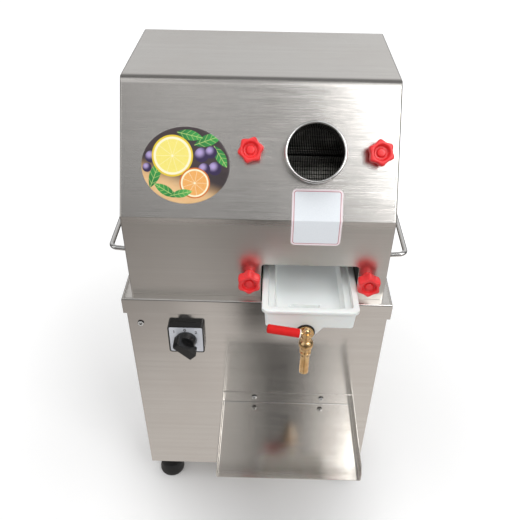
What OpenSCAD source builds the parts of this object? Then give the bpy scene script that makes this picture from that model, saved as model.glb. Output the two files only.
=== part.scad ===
// Electric sugarcane juicer: a stainless cabinet on four feet, with a four-roller press
// under a sloping hood, a juice tray with a brass tap and a splash shelf.
// The front faces -Y, +Z is up, and the origin is on the floor under the middle of the object.

/* [Cabinet] */
// Width of the deck on top of the cabinet
deck_w = 450; // [430:1:480]
// Depth of the deck from front to back
deck_d = 356; // [350:1:380]
// Height of the deck's folded edge
deck_lip = 32; // [20:1:45]
// How far the cabinet's faces stand inside the deck's edge
cabinet_inset = 4; // [3:0.5:8]
// Height from the cabinet's underside to the top of the deck
cabinet_h = 469; // [440:1:520]
// Thickness of the stainless sheet
sheet_t = 1.5; // [1:0.1:2]
// Width of the folded flanges along the sheets' edges
flange_w = 12; // [8:1:16]
// Outer radius of the sheets' folds
fold_r = 3; // [2:0.25:3]
// Height of the feet, from the floor to the cabinet's underside
foot_h = 71; // [55:1:90]
// Diameter of a rubber foot at the floor
foot_d = 52; // [40:1:60]
// Height of the rubber of a foot
foot_rubber_h = 26; // [18:1:36]
// Diameter of the threaded stem of a foot
foot_stem_d = 12; // [8:1:14]
// Distance of a foot's axis from the cabinet's faces
foot_inset = 35; // [28:1:60]
// Number of louvre slots in each column of the back panel
louvre_count = 6; // [2:1:8]
// Length of a louvre slot
louvre_l = 90; // [50:1:120]

/* [Hood] */
// Width of the hood
hood_w = 420; // [400:1:430]
// Depth of the hood
hood_d = 328; // [310:1:335]
// Height of the hood above the deck
hood_h = 331; // [320:1:360]
// Height of the crease between the upright and the sloping front
crease_h = 155; // [145:1:165]
// Slope of the upper front, measured from upright
slope = 33; // [30:1:35]
// Outer radius of the bend between the slope and the top
bend_r = 22; // [16:1:30]
// How far the hood's front stands behind the deck's edge
hood_inset = 14; // [8:1:20]
// Width of the tray opening in the hood's front
opening_w = 157; // [150:1:165]
// Height of the tray opening above the deck
opening_h = 69; // [60:1:80]
// Corner radius of the tray opening
opening_r = 6; // [2:1:12]
// Width of the outlet for pressed cane in the back
outlet_w = 150; // [100:1:160]
// Height of the outlet for pressed cane
outlet_h = 85; // [60:1:90]
// Height of the outlet's lower edge above the deck
outlet_z = 46; // [40:1:60]

/* [Handles] */
// Diameter of the handle rod
handle_rod_d = 8; // [6:0.5:10]
// How far the rod's axis stands out from the hood's side
handle_out = 36; // [30:1:45]
// Length of a handle between the axes of its legs
handle_l = 200; // [120:1:230]
// Distance of the front leg behind the hood's front
handle_y = 46; // [30:1:60]
// Height of the handle's feet above the deck
handle_z = 58; // [40:1:80]
// Radius of the rod's bends at its axis
handle_bend_r = 10; // [8:1:16]
// Upward tilt of the handles
handle_tilt = 6; // [0:1:10]

/* [Feed port] */
// Distance of the press's middle from the hood's right side
press_x = 127; // [122:1:135]
// Distance of the port's axis up the slope from the crease
port_up = 99; // [92:1:104]
// Inner diameter of the feed tube
port_d = 84; // [70:1:88]
// Wall of the feed tube
port_wall = 3; // [2:0.5:5]
// Upward tilt of the feed tube from square to the slope
port_tilt = 5; // [0:1:8]
// Length of the feed tube outside the hood
port_out = 27; // [12:1:32]
// Length of the feed tube inside the hood
port_in = 10; // [8:1:12]

/* [Star knobs] */
// Diameter over the tips of a star knob
knob_d = 40; // [34:1:44]
// Overall height of a star knob
knob_h = 32; // [28:1:36]
// Height of the knob's neck under its head
knob_neck_h = 14; // [10:1:16]
// Diameter of the knob's neck
knob_neck_d = 19; // [15:1:22]
// Number of tips on a star knob
knob_tips = 6; // [5:1:8]
// Diameter of the studs that the knobs screw on
stud_d = 8; // [6:1:10]
// Length of a stud outside the hood
stud_out = 20; // [14:1:22]
// Distance of the upper knobs up the slope from the crease
knob_up = 102; // [95:1:108]

/* [Roller press] */
// Distance between the two side plates, middle to middle
plate_gap = 190; // [184:1:194]
// Thickness of the side plates
plate_t = 15; // [12:1:18]
// Distance of the side plates behind the hood's sheet
plate_inset = 10; // [8:1:14]
// Diameter of the rollers
roller_d = 76; // [70:1:77]
// Number of flutes round a roller
roller_flutes = 36; // [24:1:48]
// Depth of the flutes
flute_depth = 1.8; // [1:0.1:2.5]
// Depth of the first nip behind the sloping sheet
nip_depth = 60; // [58:1:64]
// Distance between the first and the second nip
pair_pitch = 88; // [86:1:92]
// Diameter of the roller journals
journal_d = 30; // [24:1:32]
// Wall of the bronze bushes
bush_wall = 5; // [3:0.5:6]
// Tooth count of the roller gears
roller_teeth = 24; // [22:2:28]
// Distance between the axes of a meshing pair of rollers
roller_axis_gap = 78; // [77.5:0.1:79]
// Face width of the roller gears
roller_gear_w = 20; // [14:1:20]
// Diameter of the bars between the side plates
tie_d = 20; // [14:1:20]

/* [Drive] */
// Tooth count of the large drive gear
drive_teeth = 54; // [48:6:54]
// Tooth count of the pinion
pinion_teeth = 18; // [17:1:20]
// Gear module of the drive gear and its pinion
drive_module = 3; // [2.8:0.1:3]
// Face width of the drive gear
drive_gear_w = 24; // [18:1:26]
// Diameter of the countershaft
shaft_d = 25; // [20:1:26]
// Pitch diameter of the large pulley
large_pulley_d = 140; // [120:1:142]
// Pitch diameter of the motor pulley
motor_pulley_d = 70; // [60:1:80]
// Width of the pulleys
pulley_w = 24; // [20:1:26]
// Width of the belt
belt_w = 11; // [9:1:12]
// Thickness of the belt
belt_t = 8; // [6:1:9]
// Diameter of the motor's ribbed body
motor_d = 120; // [100:1:124]
// Length of the motor's ribbed body
motor_l = 160; // [120:1:170]
// Number of cooling ribs round the motor
motor_ribs = 24; // [16:1:32]
// Edge length of the square gearbox on the motor
gearbox_w = 112; // [100:1:120]
// Length of the gearbox
gearbox_l = 80; // [60:1:90]
// Height of the motor's axis above the cabinet's underside
motor_z = 219; // [200:1:240]
// Distance of the motor's axis behind the deck's front edge
motor_y = 205; // [190:1:215]

/* [Juice tray] */
// Width of the tray over its rim
tray_w = 152; // [140:1:154]
// Length of the tray over its rim
tray_l = 272; // [240:1:290]
// Height of the tray
tray_h = 37; // [32:1:44]
// How far the tray's rim stands out in front of the deck's edge
tray_out = 60; // [55:1:70]
// Wall of the tray
tray_wall = 2.5; // [2:0.1:3.5]
// Overhang of the tray's rim
tray_rim = 4; // [3:0.5:5]
// Height of the tray's rim
tray_rim_h = 6; // [4:0.5:8]
// Corner radius of the tray's rim
tray_r = 10; // [8:1:16]
// Width of the flat band on top of the tray's rim
tray_band = 9.5; // [8:0.5:11]
// Width of the ledges inside the tray's long sides
tray_ledge = 11; // [8:1:13]
// Depth of the ledges under the top of the rim
tray_ledge_drop = 11; // [9:1:14]
// How far the tray's sides lean in towards the floor
tray_draft = 2.5; // [1:0.5:4]
// Sideways place of the tray from the press
tray_off = 2; // [0:1:3]
// Depth of the sump under the tray's front
sump_h = 26.5; // [26:0.5:32]

/* [Tap] */
// Sideways place of the tap from the tray's middle
tap_off = -6; // [-10:1:10]
// Depth of the tap's inlet axis under the tray's floor
tap_drop = 9.5; // [9:0.5:11]
// Distance of the spout's axis in front of the tray's wall
tap_reach = 26; // [22:1:32]
// Outer diameter of the spout
spout_d = 15; // [13:0.5:17]
// Bore of the spout
spout_bore = 10; // [8:0.5:11]
// Length of the spout under the inlet axis
spout_l = 64; // [55:1:75]
// Diameter of the tap's wall flange
tap_flange_d = 27; // [24:1:30]
// Diameter of the ball in the tap
ball_d = 14; // [12:0.5:15]
// Length of the red sleeve on the lever
sleeve_l = 50; // [36:1:60]
// Diameter of the red sleeve
sleeve_d = 14; // [10:0.5:15]
// Upward tilt of the lever
lever_tilt = 10; // [0:1:14]

/* [Switch] */
// Edge length of the switch's square front frame
switch_w = 62; // [56:1:66]
// Depth of the switch's front frame
switch_d = 11; // [8:1:14]
// Sideways place of the switch from the middle
switch_x = -121; // [-150:1:-100]
// Height of the switch's axis under the top of the deck
switch_drop = 85; // [75:1:100]
// Diameter of the knob's round base
dial_d = 37; // [32:1:42]
// Length of the knob's grip bar
grip_l = 45; // [38:1:52]
// Width of the knob's grip bar
grip_w = 13; // [10:1:16]
// Height of the whole knob above the switch's face
grip_h = 30; // [24:1:34]

/* [Splash shelf] */
// Width of the shelf
shelf_w = 247; // [220:1:260]
// Reach of the shelf in front of the cabinet
shelf_d = 162; // [130:1:180]
// Height of the shelf's side and back lips
shelf_lip = 29; // [20:1:36]
// Length of the clipped corner at the front of the side lips
shelf_clip = 9; // [4:1:14]
// Height of the shelf under the top of the deck
shelf_drop = 263; // [240:1:300]
// Sideways place of the shelf from the middle
shelf_x = 61; // [40:1:75]
// Distance between the two shelf screws
shelf_screw_gap = 127; // [90:1:160]

/* [Hidden] */
$fn = 64;

// Clearances: sliding or turning gap, running fit on a radius, and hole over a screw
gap = 0.3;
run = 0.05;
screw_play = 0.5;
// How far a cutting shape reaches past the face that it cuts
cut = 1;
// Ease that lets the round of the bend cross the flat sheets at an angle
bend_ease = 0.03;
// Extra radius of the slope's side edges, so that they cross the front's at the crease
crease_ease = 0.25;
// Screws: shank, heads and shank length
screw_d = 5;
corner_screw_head = 11;
shelf_screw_head = 9.5;
screw_l = 10;

// Heights
cabinet_z = foot_h;
deck_z = cabinet_z + cabinet_h;
crease_z = deck_z + crease_h;
hood_z = deck_z + hood_h;
// Depths, with the middle of the object's length at zero
deck_front = (shelf_d - cabinet_inset - deck_d) / 2;
deck_back = deck_front + deck_d;
cabinet_front_y = deck_front + cabinet_inset;
cabinet_back_y = deck_back - cabinet_inset;
cabinet_w = deck_w - 2 * cabinet_inset;
hood_front = deck_front + hood_inset;
hood_back_y = hood_front + hood_d;
// Bend of the hood: its axis lies on both tangents
bend_tangent = bend_r * tan((90 - slope) / 2);
bend_y = hood_front + (hood_h - crease_h) * tan(slope) + bend_tangent;
bend_z = hood_z - bend_r;
// Inner radius of the folds, and how far a sheet inside a fold keeps from its corner
fold_in = max(0.3, fold_r - sheet_t);
fold_room = max(2 * sheet_t, fold_r);

// Roller press: nips and axes in the Y-Z plane
feed = [cos(slope), -sin(slope)];
across = [sin(slope), cos(slope)];
nip_up = 4;
nip_front = [hood_front, crease_z] + (port_up + nip_up) * across + nip_depth * feed;
nip_rear = nip_front + pair_pitch * feed;
axis_fu = nip_front + roller_axis_gap / 2 * across;
axis_fl = nip_front - roller_axis_gap / 2 * across;
axis_ru = nip_rear + roller_axis_gap / 2 * across;
axis_rl = nip_rear - roller_axis_gap / 2 * across;
idler_rise = roller_axis_gap / 2 + sqrt(pow(roller_axis_gap, 2) - pow(pair_pitch / 2, 2));
axis_idler = nip_front + pair_pitch / 2 * feed + idler_rise * across;
roller_module = roller_axis_gap / roller_teeth;
// Countershaft under the rear upper roller, a gear pair away
drive_axis_gap = drive_module * (drive_teeth + pinion_teeth) / 2;
counter_angle = -74;
axis_counter = axis_ru + drive_axis_gap * [cos(counter_angle), sin(counter_angle)];
axis_motor = [deck_front + motor_y, cabinet_z + motor_z];

// Depth of the studs in the side plates, and the idler's pin
stud_in = 18;
idler_pin_d = 20;

// Places along X: the press keeps its distance from the hood's right side
press_mid = hood_w / 2 - press_x;
plate_left = press_mid - plate_gap / 2 - plate_t / 2;
plate_right = press_mid + plate_gap / 2 - plate_t / 2;
inner_left = plate_left + plate_t;
inner_w = plate_right - inner_left;
roller_side_gap = 2;
bush_flange_t = 3;
bush_flange = 4;
bush_gap = 0.5;
gear_gap = 6;
shaft_end = 3;
gear_left = plate_left - bush_flange_t - bush_gap - roller_gear_w;
drive_left = gear_left - gear_gap - drive_gear_w;
// The belt runs in the hood and in the cabinet, so the large pulley keeps its distance from the left
// side of the narrower one; the stand fills the room between it and the drive gear
pulley_side = 8;
belt_room = min(hood_w, cabinet_w) / 2;
pulley_gap = 6;
stand_gap = 4;
pulley_left = -belt_room + 2 * sheet_t + pulley_side + shaft_end;
stand_left = pulley_left + pulley_w + pulley_gap;
stand_right = drive_left - stand_gap;
stand_w = stand_right - stand_left;
block_w = 0.28 * stand_w;
bush_r = journal_d / 2 + run + bush_wall;

// Tray and tap
tray_x = press_mid + tray_off;
tray_front = deck_front - tray_out;
tray_z = deck_z + gap;
tray_wall_front = tray_front + tray_rim;
// The lower knobs stand clear of the tray's rim, whichever way they are turned
knob_clear = 1;
knob_beside = plate_gap / 2 - tray_off - tray_w / 2;
knob_above = sqrt(max(0, pow(knob_d / 2, 2) - pow(knob_beside, 2)));
knob_low = gap + tray_h + knob_above + knob_clear;
tray_top = tray_z + tray_h;
tray_back = tray_front + tray_l - tray_rim;
well_draft = 4;
sump_top_w = 55;
sump_gap = 4;
sump_back = deck_front - sump_gap;
tap_x = tray_x + tap_off;
tap_z = tray_z - tap_drop;
gasket_t = 2;
gasket_d = tap_flange_d + 3;
inlet_d = 16;
inlet_bore = 10;
tap_flange_t = 3;
tap_y = tray_wall_front - tap_reach;
tap_body_r = ball_d / 2 + 4.5;
stem_d = 6;
bonnet_top = tap_z + tap_body_r + 4;
hub_h = 8;
lever_rod_d = 7;

// Switch
switch_z = deck_z - switch_drop;
switch_face = cabinet_front_y - switch_d;
switch_edge = 5;
switch_border = 2.5;
face_t = 1;
switch_neck_d = 30;
spindle_d = 8;
spindle_in = 18;

shelf_z = deck_z - shelf_drop;
shelf_front = cabinet_front_y - shelf_d;
shelf_screw_z = shelf_z + 0.6 * shelf_lip;
corner_in = 22;
corner_under = 26;
corner_screw = [-(cabinet_w / 2 - corner_in), deck_z - deck_lip - corner_under];

// Extrudes a Y-Z outline along X
module along_x(x0, len) {
    translate([x0, 0, 0]) rotate([90, 0, 90]) linear_extrude(len) children();
}

// Extrudes an X-Z outline along Y
module along_y(y0, len) {
    translate([0, y0 + len, 0]) rotate([90, 0, 0]) linear_extrude(len) children();
}

// Puts local Z along the outward normal of the sloping sheet, local Y up the slope
module on_slope(x, up) {
    translate([x, hood_front + up * sin(slope), crease_z + up * cos(slope)])
        rotate([90 - slope, 0, 0]) children();
}

// Puts local Z along the axis of the feed tube, where it crosses the sloping sheet
module on_port() {
    on_slope(press_mid, port_up) rotate([-port_tilt, 0, 0]) children();
}

// Puts local Z along -Y at the hood's upright front
module on_front(x, z) {
    translate([x, hood_front, z]) rotate([90, 0, 0]) children();
}

// Cylinder along X round an axis of the Y-Z plane
module bar_x(axis, x0, len, d) {
    translate([x0, axis[0], axis[1]]) rotate([0, 90, 0]) cylinder(d = d, h = len);
}

// Rectangle with round corners, centred
module rounded(w, h, r) {
    square([w - 2 * r, h], center = true);
    square([w, h - 2 * r], center = true);
    for (x = [-1, 1], y = [-1, 1])
        translate([x * (w / 2 - r), y * (h / 2 - r)]) circle(r);
}

// Block that stands on the X axis with its two lower corners rounded
module fold_block(w, deep, r) {
    translate([-w / 2, r]) square([w, deep - r]);
    translate([-w / 2 + r, 0]) square([w - 2 * r, deep]);
    for (side = [-1, 1]) translate([side * (w / 2 - r), r]) circle(r);
}

// The same block hung under the X axis
module fold_cap(w, deep, r) {
    mirror([0, 1]) fold_block(w, deep, r);
}

// Round of the hood's bend along X, between the slope and the top
module bend_round(x0, len, r) {
    c = [bend_y, bend_z];
    from = r * [-cos(slope), sin(slope)];
    to = r * [0, 1];
    intersection() {
        bar_x(c, x0, len, 2 * r);
        along_x(x0, len) polygon([c, c + 2 * from, c + 2 * (from + to), c + 2 * to]);
    }
}

// Room outside the round of the hood's bend, to cut the bend's corner off
module bend_corner(x0, len, r) {
    c = [bend_y, bend_z];
    from = r * [-cos(slope), sin(slope)];
    to = r * [0, 1];
    difference() {
        along_x(x0 - cut, len + 2 * cut) polygon([c, c + 2 * from, c + 2 * (from + to), c + 2 * to]);
        bar_x(c, x0 - 2 * cut, len + 4 * cut, 2 * (r + bend_ease));
    }
}

// Form of the hood along X, drawn in by a distance; over lets a cutter pass its edges
module hood_form(x0, len, in = 0, over = 0) {
    r = bend_r - in;
    difference() {
        along_x(x0, len) polygon([
            [hood_front + in, deck_z - over],
            [hood_front + in, crease_z - in * tan(slope / 2)],
            [bend_y - r * cos(slope) / (1 + sin(slope)), bend_z + r],
            [hood_back_y + over, bend_z + r],
            [hood_back_y + over, deck_z - over]
        ]);
        if (r > bend_ease) bend_corner(x0, len, r);
    }
}

// The four knob places, each with local Z pointing out of the hood
module at_knob(side, upper) {
    x = press_mid + side * plate_gap / 2;
    if (upper) on_slope(x, knob_up) children();
    else on_front(x, deck_z + knob_low) children();
}

// Tangent loop round two circles in the Y-Z plane
module belt_loop(grow) {
    r1 = large_pulley_d / 2 + grow;
    r2 = motor_pulley_d / 2 + grow;
    d = axis_motor - axis_counter;
    lean = atan2(d[1], d[0]);
    wrap = acos((r1 - r2) / norm(d));
    translate(axis_counter) circle(r1);
    translate(axis_motor) circle(r2);
    polygon([
        axis_counter + r1 * [cos(lean + wrap), sin(lean + wrap)],
        axis_counter + r1 * [cos(lean - wrap), sin(lean - wrap)],
        axis_motor + r2 * [cos(lean - wrap), sin(lean - wrap)],
        axis_motor + r2 * [cos(lean + wrap), sin(lean + wrap)]
    ]);
}

// Involute of an angle, in degrees
function involute(a) = tan(a) * 180 / PI - a;

// Spur gear outline with involute flanks, a tooth centred on the given angle
module gear_outline(teeth, mod, phase) {
    pressure = 20;
    backlash = 0.3;
    flank_steps = 4;
    rp = teeth * mod / 2;
    rb = rp * cos(pressure);
    root = rp - 1.25 * mod;
    tip = rp + mod;
    low = max(rb, root);
    half = 90 / teeth - backlash / rp * 45 / PI + involute(pressure);
    radii = concat([root], [for (i = [0:flank_steps]) low + (tip - low) * i / flank_steps]);
    turn = [for (r = radii) half - (r > rb ? involute(acos(rb / r)) : 0)];
    last = len(radii) - 1;
    polygon([
        for (t = [0:teeth - 1], k = [0:2 * last + 1])
            let (
                i = k <= last ? k : 2 * last + 1 - k,
                a = phase + 360 * t / teeth + (k <= last ? -1 : 1) * turn[i]
            )
            radii[i] * [cos(a), sin(a)]
    ]);
}

// Tooth angle of a gear that meshes with another one, from the place of their axes
function mesh_phase(axis1, teeth1, phase1, axis2, teeth2) =
    let (d = axis2 - axis1, line = atan2(d[1], d[0]))
    line + 180 - 360 / teeth2 * (0.5 - teeth1 * (line - phase1) / 360);

phase_ru = 0;
phase_rl = mesh_phase(axis_ru, roller_teeth, phase_ru, axis_rl, roller_teeth);
phase_idler = mesh_phase(axis_ru, roller_teeth, phase_ru, axis_idler, roller_teeth);
phase_fu = mesh_phase(axis_idler, roller_teeth, phase_idler, axis_fu, roller_teeth);
phase_fl = mesh_phase(axis_fu, roller_teeth, phase_fu, axis_fl, roller_teeth);
phase_pinion = mesh_phase(axis_ru, drive_teeth, phase_ru, axis_counter, pinion_teeth);

// Spur gear on an axis along X, with its bore
module gear(axis, x0, w, teeth, mod, phase, bore) {
    along_x(x0, w) translate(axis) difference() {
        gear_outline(teeth, mod, phase);
        circle(d = bore);
    }
}

// Fluted roller with its two journals; the left one also carries the gears
module roller(axis, left_end) {
    r = roller_d / 2;
    pitch = 360 / roller_flutes;
    x0 = inner_left + roller_side_gap;
    w = inner_w - 2 * roller_side_gap;
    ridge = [[0, r], [0.5, r], [0.62, r - flute_depth], [0.88, r - flute_depth]];
    along_x(x0, w) translate(axis) polygon([
        for (i = [0:roller_flutes - 1], k = ridge)
            k[1] * [cos((i + k[0]) * pitch), sin((i + k[0]) * pitch)]
    ]);
    bar_x(axis, left_end, x0 - left_end, journal_d);
    bar_x(axis, x0 + w, plate_right + plate_t + bush_flange_t + shaft_end - x0 - w, journal_d);
}

// Pulley with a V groove for the belt
module pulley(axis, pitch_d, bore) {
    rim = pitch_d / 2 + belt_t / 2 + 1;
    floor_r = pitch_d / 2 - belt_t / 2 - 2;
    half = belt_w / 2 + gap;
    flare = 1.5;
    hub = bore / 2 + 9;
    web = 4;
    middle = pulley_left + pulley_w / 2;
    translate([middle, axis[0], axis[1]]) rotate([0, 90, 0]) rotate_extrude() polygon([
        [bore / 2, -pulley_w / 2], [hub, -pulley_w / 2], [hub, -web],
        [floor_r - 6, -web], [floor_r - 6, -pulley_w / 2 + 1], [rim, -pulley_w / 2 + 1],
        [rim, -half - flare], [floor_r, -half], [floor_r, half], [rim, half + flare],
        [rim, pulley_w / 2 - 1], [floor_r - 6, pulley_w / 2 - 1], [floor_r - 6, web],
        [hub, web], [hub, pulley_w / 2], [bore / 2, pulley_w / 2]
    ]);
}

// Pan-head screw with its head's seat at local Z = 0 and its shank below
module pan_screw(head_d, shank_d, shank_l) {
    head_h = 0.32 * head_d;
    rotate_extrude() {
        translate([0, 0]) square([head_d / 2 - head_h / 2, head_h]);
        square([head_d / 2, head_h / 2]);
        intersection() {
            translate([head_d / 2 - head_h / 2, head_h / 2]) circle(head_h / 2);
            square([head_d, head_h]);
        }
        translate([0, -shank_l]) square([shank_d / 2, shank_l]);
    }
}

// Plan of a cabinet panel with its face on the X axis and its two edges folded back
module panel_plan() {
    difference() {
        fold_block(cabinet_w, flange_w, fold_r);
        translate([0, sheet_t]) fold_block(cabinet_w - 2 * sheet_t, flange_w, fold_in);
    }
}

// Front sheet of the cabinet, its side edges folded back
module cabinet_front() {
    color("silver") difference() {
        translate([0, cabinet_front_y, cabinet_z]) linear_extrude(cabinet_h - sheet_t) panel_plan();
        along_y(cabinet_front_y - cut, sheet_t + 2 * cut) {
            translate([switch_x, switch_z]) circle(d = switch_neck_d + screw_play);
            translate(corner_screw) circle(d = screw_d);
            for (s = [-1, 1])
                translate([shelf_x + s * shelf_screw_gap / 2, shelf_screw_z]) circle(d = screw_d);
        }
    }
}

// Side sheet of the cabinet, inside the front sheet's fold
module cabinet_side(side) {
    x = side < 0 ? -cabinet_w / 2 + sheet_t : cabinet_w / 2 - 2 * sheet_t;
    color("silver") translate([x, cabinet_front_y + fold_r, cabinet_z])
        cube([sheet_t, cabinet_back_y - cabinet_front_y - 2 * fold_r, cabinet_h - sheet_t]);
}
module cabinet_side_left() { cabinet_side(-1); }
module cabinet_side_right() { cabinet_side(1); }

// Places of the back panel's screws
back_screw_in = 25;
back_screw_edge = 30;
back_screw_x = cabinet_w / 2 - back_screw_in;
back_screw_z = [cabinet_z + back_screw_edge, cabinet_z + cabinet_h / 2, deck_z - deck_lip - back_screw_edge];

// Back panel with two columns of louvre slots, edges folded forward
module cabinet_back() {
    slot_h = 7;
    slot_pitch = 26;
    slot_z = cabinet_z + cabinet_h / 2 - (louvre_count - 1) / 2 * slot_pitch;
    color("silver") difference() {
        translate([0, cabinet_back_y, cabinet_z]) mirror([0, 1, 0])
            linear_extrude(cabinet_h - sheet_t) panel_plan();
        along_y(cabinet_back_y - sheet_t - cut, sheet_t + 2 * cut) {
            for (s = [-1, 1], i = [0:louvre_count - 1])
                translate([s * louvre_l * 0.7, slot_z + i * slot_pitch])
                    rounded(louvre_l, slot_h, slot_h / 2 - 0.01);
            for (s = [-1, 1], z = back_screw_z)
                translate([s * back_screw_x, z]) circle(d = screw_d);
        }
    }
}

// Floor plate between the cabinet's sheets, drilled for the feet
module cabinet_floor() {
    w = cabinet_w - 2 * fold_room;
    y0 = cabinet_front_y + sheet_t;
    color("silver") difference() {
        translate([-w / 2, y0, cabinet_z]) cube([w, cabinet_back_y - sheet_t - y0, 2 * sheet_t]);
        at_feet() translate([0, 0, cabinet_z - cut]) cylinder(d = foot_stem_d, h = 2 * sheet_t + 2 * cut);
    }
}

// Places of the four feet
module at_feet() {
    for (x = [-1, 1], y = [cabinet_front_y + foot_inset, cabinet_back_y - foot_inset])
        translate([x * (cabinet_w / 2 - foot_inset), y, 0]) children();
}

// Solid form of the deck with round upper edges, drawn in by a sheet for its inside
module deck_block(in, r, over) {
    deep = deck_lip - in + over;
    intersection() {
        along_x(-deck_w / 2 + in, deck_w - 2 * in)
            translate([deck_front + deck_d / 2, deck_z - in]) fold_cap(deck_d - 2 * in, deep, r);
        along_y(deck_front + in, deck_d - 2 * in)
            translate([0, deck_z - in]) fold_cap(deck_w - 2 * in, deep, r);
    }
}

// Deck: folded cap over the cabinet, slotted for the drive belt
module deck_cap() {
    slot_play = 4;
    slot_y = axis_counter[0] - large_pulley_d / 2 - belt_t - slot_play;
    color("silver") difference() {
        deck_block(0, fold_r, 0);
        deck_block(sheet_t, fold_in, cut);
        translate([pulley_left - slot_play, slot_y, deck_z - sheet_t - cut])
            cube([pulley_w + 2 * slot_play, large_pulley_d + 2 * (belt_t + slot_play), sheet_t + 2 * cut]);
    }
}

// One screw at the upper left of the front sheet and six on the back panel
module cabinet_screws() {
    color("gainsboro") {
        translate([corner_screw[0], cabinet_front_y, corner_screw[1]]) rotate([90, 0, 0])
            pan_screw(corner_screw_head, screw_d, screw_l);
        for (s = [-1, 1], z = back_screw_z)
            translate([s * back_screw_x, cabinet_back_y, z]) rotate([-90, 0, 0])
                pan_screw(corner_screw_head, screw_d, screw_l);
        for (s = [-1, 1])
            translate([shelf_x + s * shelf_screw_gap / 2, cabinet_front_y - sheet_t, shelf_screw_z])
                rotate([90, 0, 0]) pan_screw(shelf_screw_head, screw_d, screw_l);
    }
}

// Four rubber feet with a waist and a round lower edge
module foot_pads() {
    r = foot_d / 2;
    edge = 3;
    sole = 5;
    color("#1c1c1c") at_feet() rotate_extrude() difference() {
        union() {
            polygon([[0, 0], [r - edge, 0], [r, edge], [r, sole + edge], [r - 4, foot_rubber_h - 3],
                     [r - 7, foot_rubber_h], [0, foot_rubber_h]]);
            intersection() {
                translate([r - edge, edge]) circle(edge);
                square([r, edge]);
            }
        }
        translate([0, sole]) square([foot_stem_d / 2, foot_rubber_h]);
    }
}

// Four threaded stems, each with a nut on the rubber and two nuts that clamp the floor plate
module foot_stems() {
    nut_d = 1.8 * foot_stem_d;
    nut_h = 0.7 * foot_stem_d;
    sole = 5;
    color("gainsboro") at_feet() {
        translate([0, 0, sole]) cylinder(d = foot_stem_d, h = cabinet_z + 2 * sheet_t + nut_h + 3 - sole);
        for (z = [foot_rubber_h, cabinet_z - nut_h, cabinet_z + 2 * sheet_t])
            translate([0, 0, z]) cylinder(d = nut_d, h = nut_h, $fn = 6);
    }
}

// Solid form of the hood with round side edges, drawn in by a distance for its inside
module hood_block(in, r, over) {
    w = hood_w - 2 * in;
    big = hood_d + hood_h;
    difference() {
        intersection() {
            translate([0, hood_front + in, deck_z - over])
                linear_extrude(big) fold_block(w, hood_d - in + over, r);
            on_slope(0, 0) along_y(-big, 2 * big) translate([0, -in]) fold_cap(w, big, r + crease_ease);
            along_y(hood_front - big, 3 * big) translate([0, hood_z - in]) fold_cap(w, big, r);
        }
        bend_corner(-w / 2, w, bend_r - in);
    }
}

// Hood cover: one sheet bent over the top, the slope and the upright front, edges folded in
module hood_cover() {
    color("silver") difference() {
        hood_block(0, fold_r, 0);
        hood_block(sheet_t, fold_in, cut);
        hood_form(-hood_w, 2 * hood_w, flange_w, cut);
        bend_round(-hood_w, 2 * hood_w, bend_r - 2 * sheet_t);
        on_port() translate([0, 0, -port_in]) cylinder(d = port_d + 2 * port_wall, h = port_in + port_out);
        for (side = [-1, 1], upper = [true, false])
            at_knob(side, upper)
                translate([0, 0, -sheet_t - cut]) cylinder(d = stud_d + screw_play, h = sheet_t + 2 * cut);
        along_y(hood_front - cut, sheet_t + 2 * cut)
            translate([tray_x, deck_z]) rounded(opening_w, 2 * opening_h, opening_r);
    }
}

// Side sheet of the hood, inside the cover's fold
module hood_side(side) {
    x = side < 0 ? -hood_w / 2 + sheet_t : hood_w / 2 - 2 * sheet_t;
    color("silver") hood_form(x, sheet_t, fold_r + crease_ease);
}
module hood_side_left() { hood_side(-1); }
module hood_side_right() { hood_side(1); }

// Back sheet of the hood with the outlet for pressed cane
module hood_back() {
    w = hood_w - 2 * fold_room;
    color("silver") difference() {
        translate([-w / 2, hood_back_y - sheet_t, deck_z]) cube([w, sheet_t, hood_h - sheet_t]);
        along_y(hood_back_y - sheet_t - cut, sheet_t + 2 * cut)
            translate([press_mid, deck_z + outlet_z + outlet_h / 2]) rounded(outlet_w, outlet_h, opening_r);
    }
}

// Feed tube: a pipe through the sloping sheet with a rolled outer rim
module feed_tube() {
    r = port_d / 2;
    color("gainsboro") on_port() rotate_extrude() {
        translate([r, -port_in]) square([port_wall, port_in + port_out - port_wall / 2]);
        translate([r + port_wall / 2, port_out - port_wall / 2]) circle(port_wall / 2);
    }
}

// Carrying handle: a bent rod welded to the hood's side
module handle(side) {
    face = hood_w / 2 - sheet_t;
    root = [face, hood_front + handle_y, deck_z + handle_z];
    leg = handle_out + sheet_t - handle_bend_r;
    color("gainsboro") mirror([side < 0 ? 1 : 0, 0, 0]) difference() {
        translate(root) rotate([0, -handle_tilt, 0]) {
            for (y = [0, handle_l])
                translate([-handle_rod_d, y, 0]) rotate([0, 90, 0])
                    cylinder(d = handle_rod_d, h = leg + handle_rod_d);
            translate([leg, handle_bend_r, 0]) rotate([0, 0, -90])
                rotate_extrude(angle = 90) translate([handle_bend_r, 0]) circle(d = handle_rod_d);
            translate([leg, handle_l - handle_bend_r, 0])
                rotate_extrude(angle = 90) translate([handle_bend_r, 0]) circle(d = handle_rod_d);
            translate([leg + handle_bend_r, handle_bend_r, 0]) rotate([-90, 0, 0])
                cylinder(d = handle_rod_d, h = handle_l - 2 * handle_bend_r);
        }
        translate(root + [-4 * handle_rod_d, -handle_rod_d, -2 * handle_rod_d])
            cube([4 * handle_rod_d, handle_l + 2 * handle_rod_d, 4 * handle_rod_d]);
    }
}
module handle_left() { handle(-1); }
module handle_right() { handle(1); }

// Four studs screwed into the front edges of the press plates
module cover_studs() {
    inside = plate_inset + stud_in;
    color("gainsboro") for (side = [-1, 1], upper = [true, false])
        at_knob(side, upper) translate([0, 0, -inside]) cylinder(d = stud_d, h = inside + stud_out);
}

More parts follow.
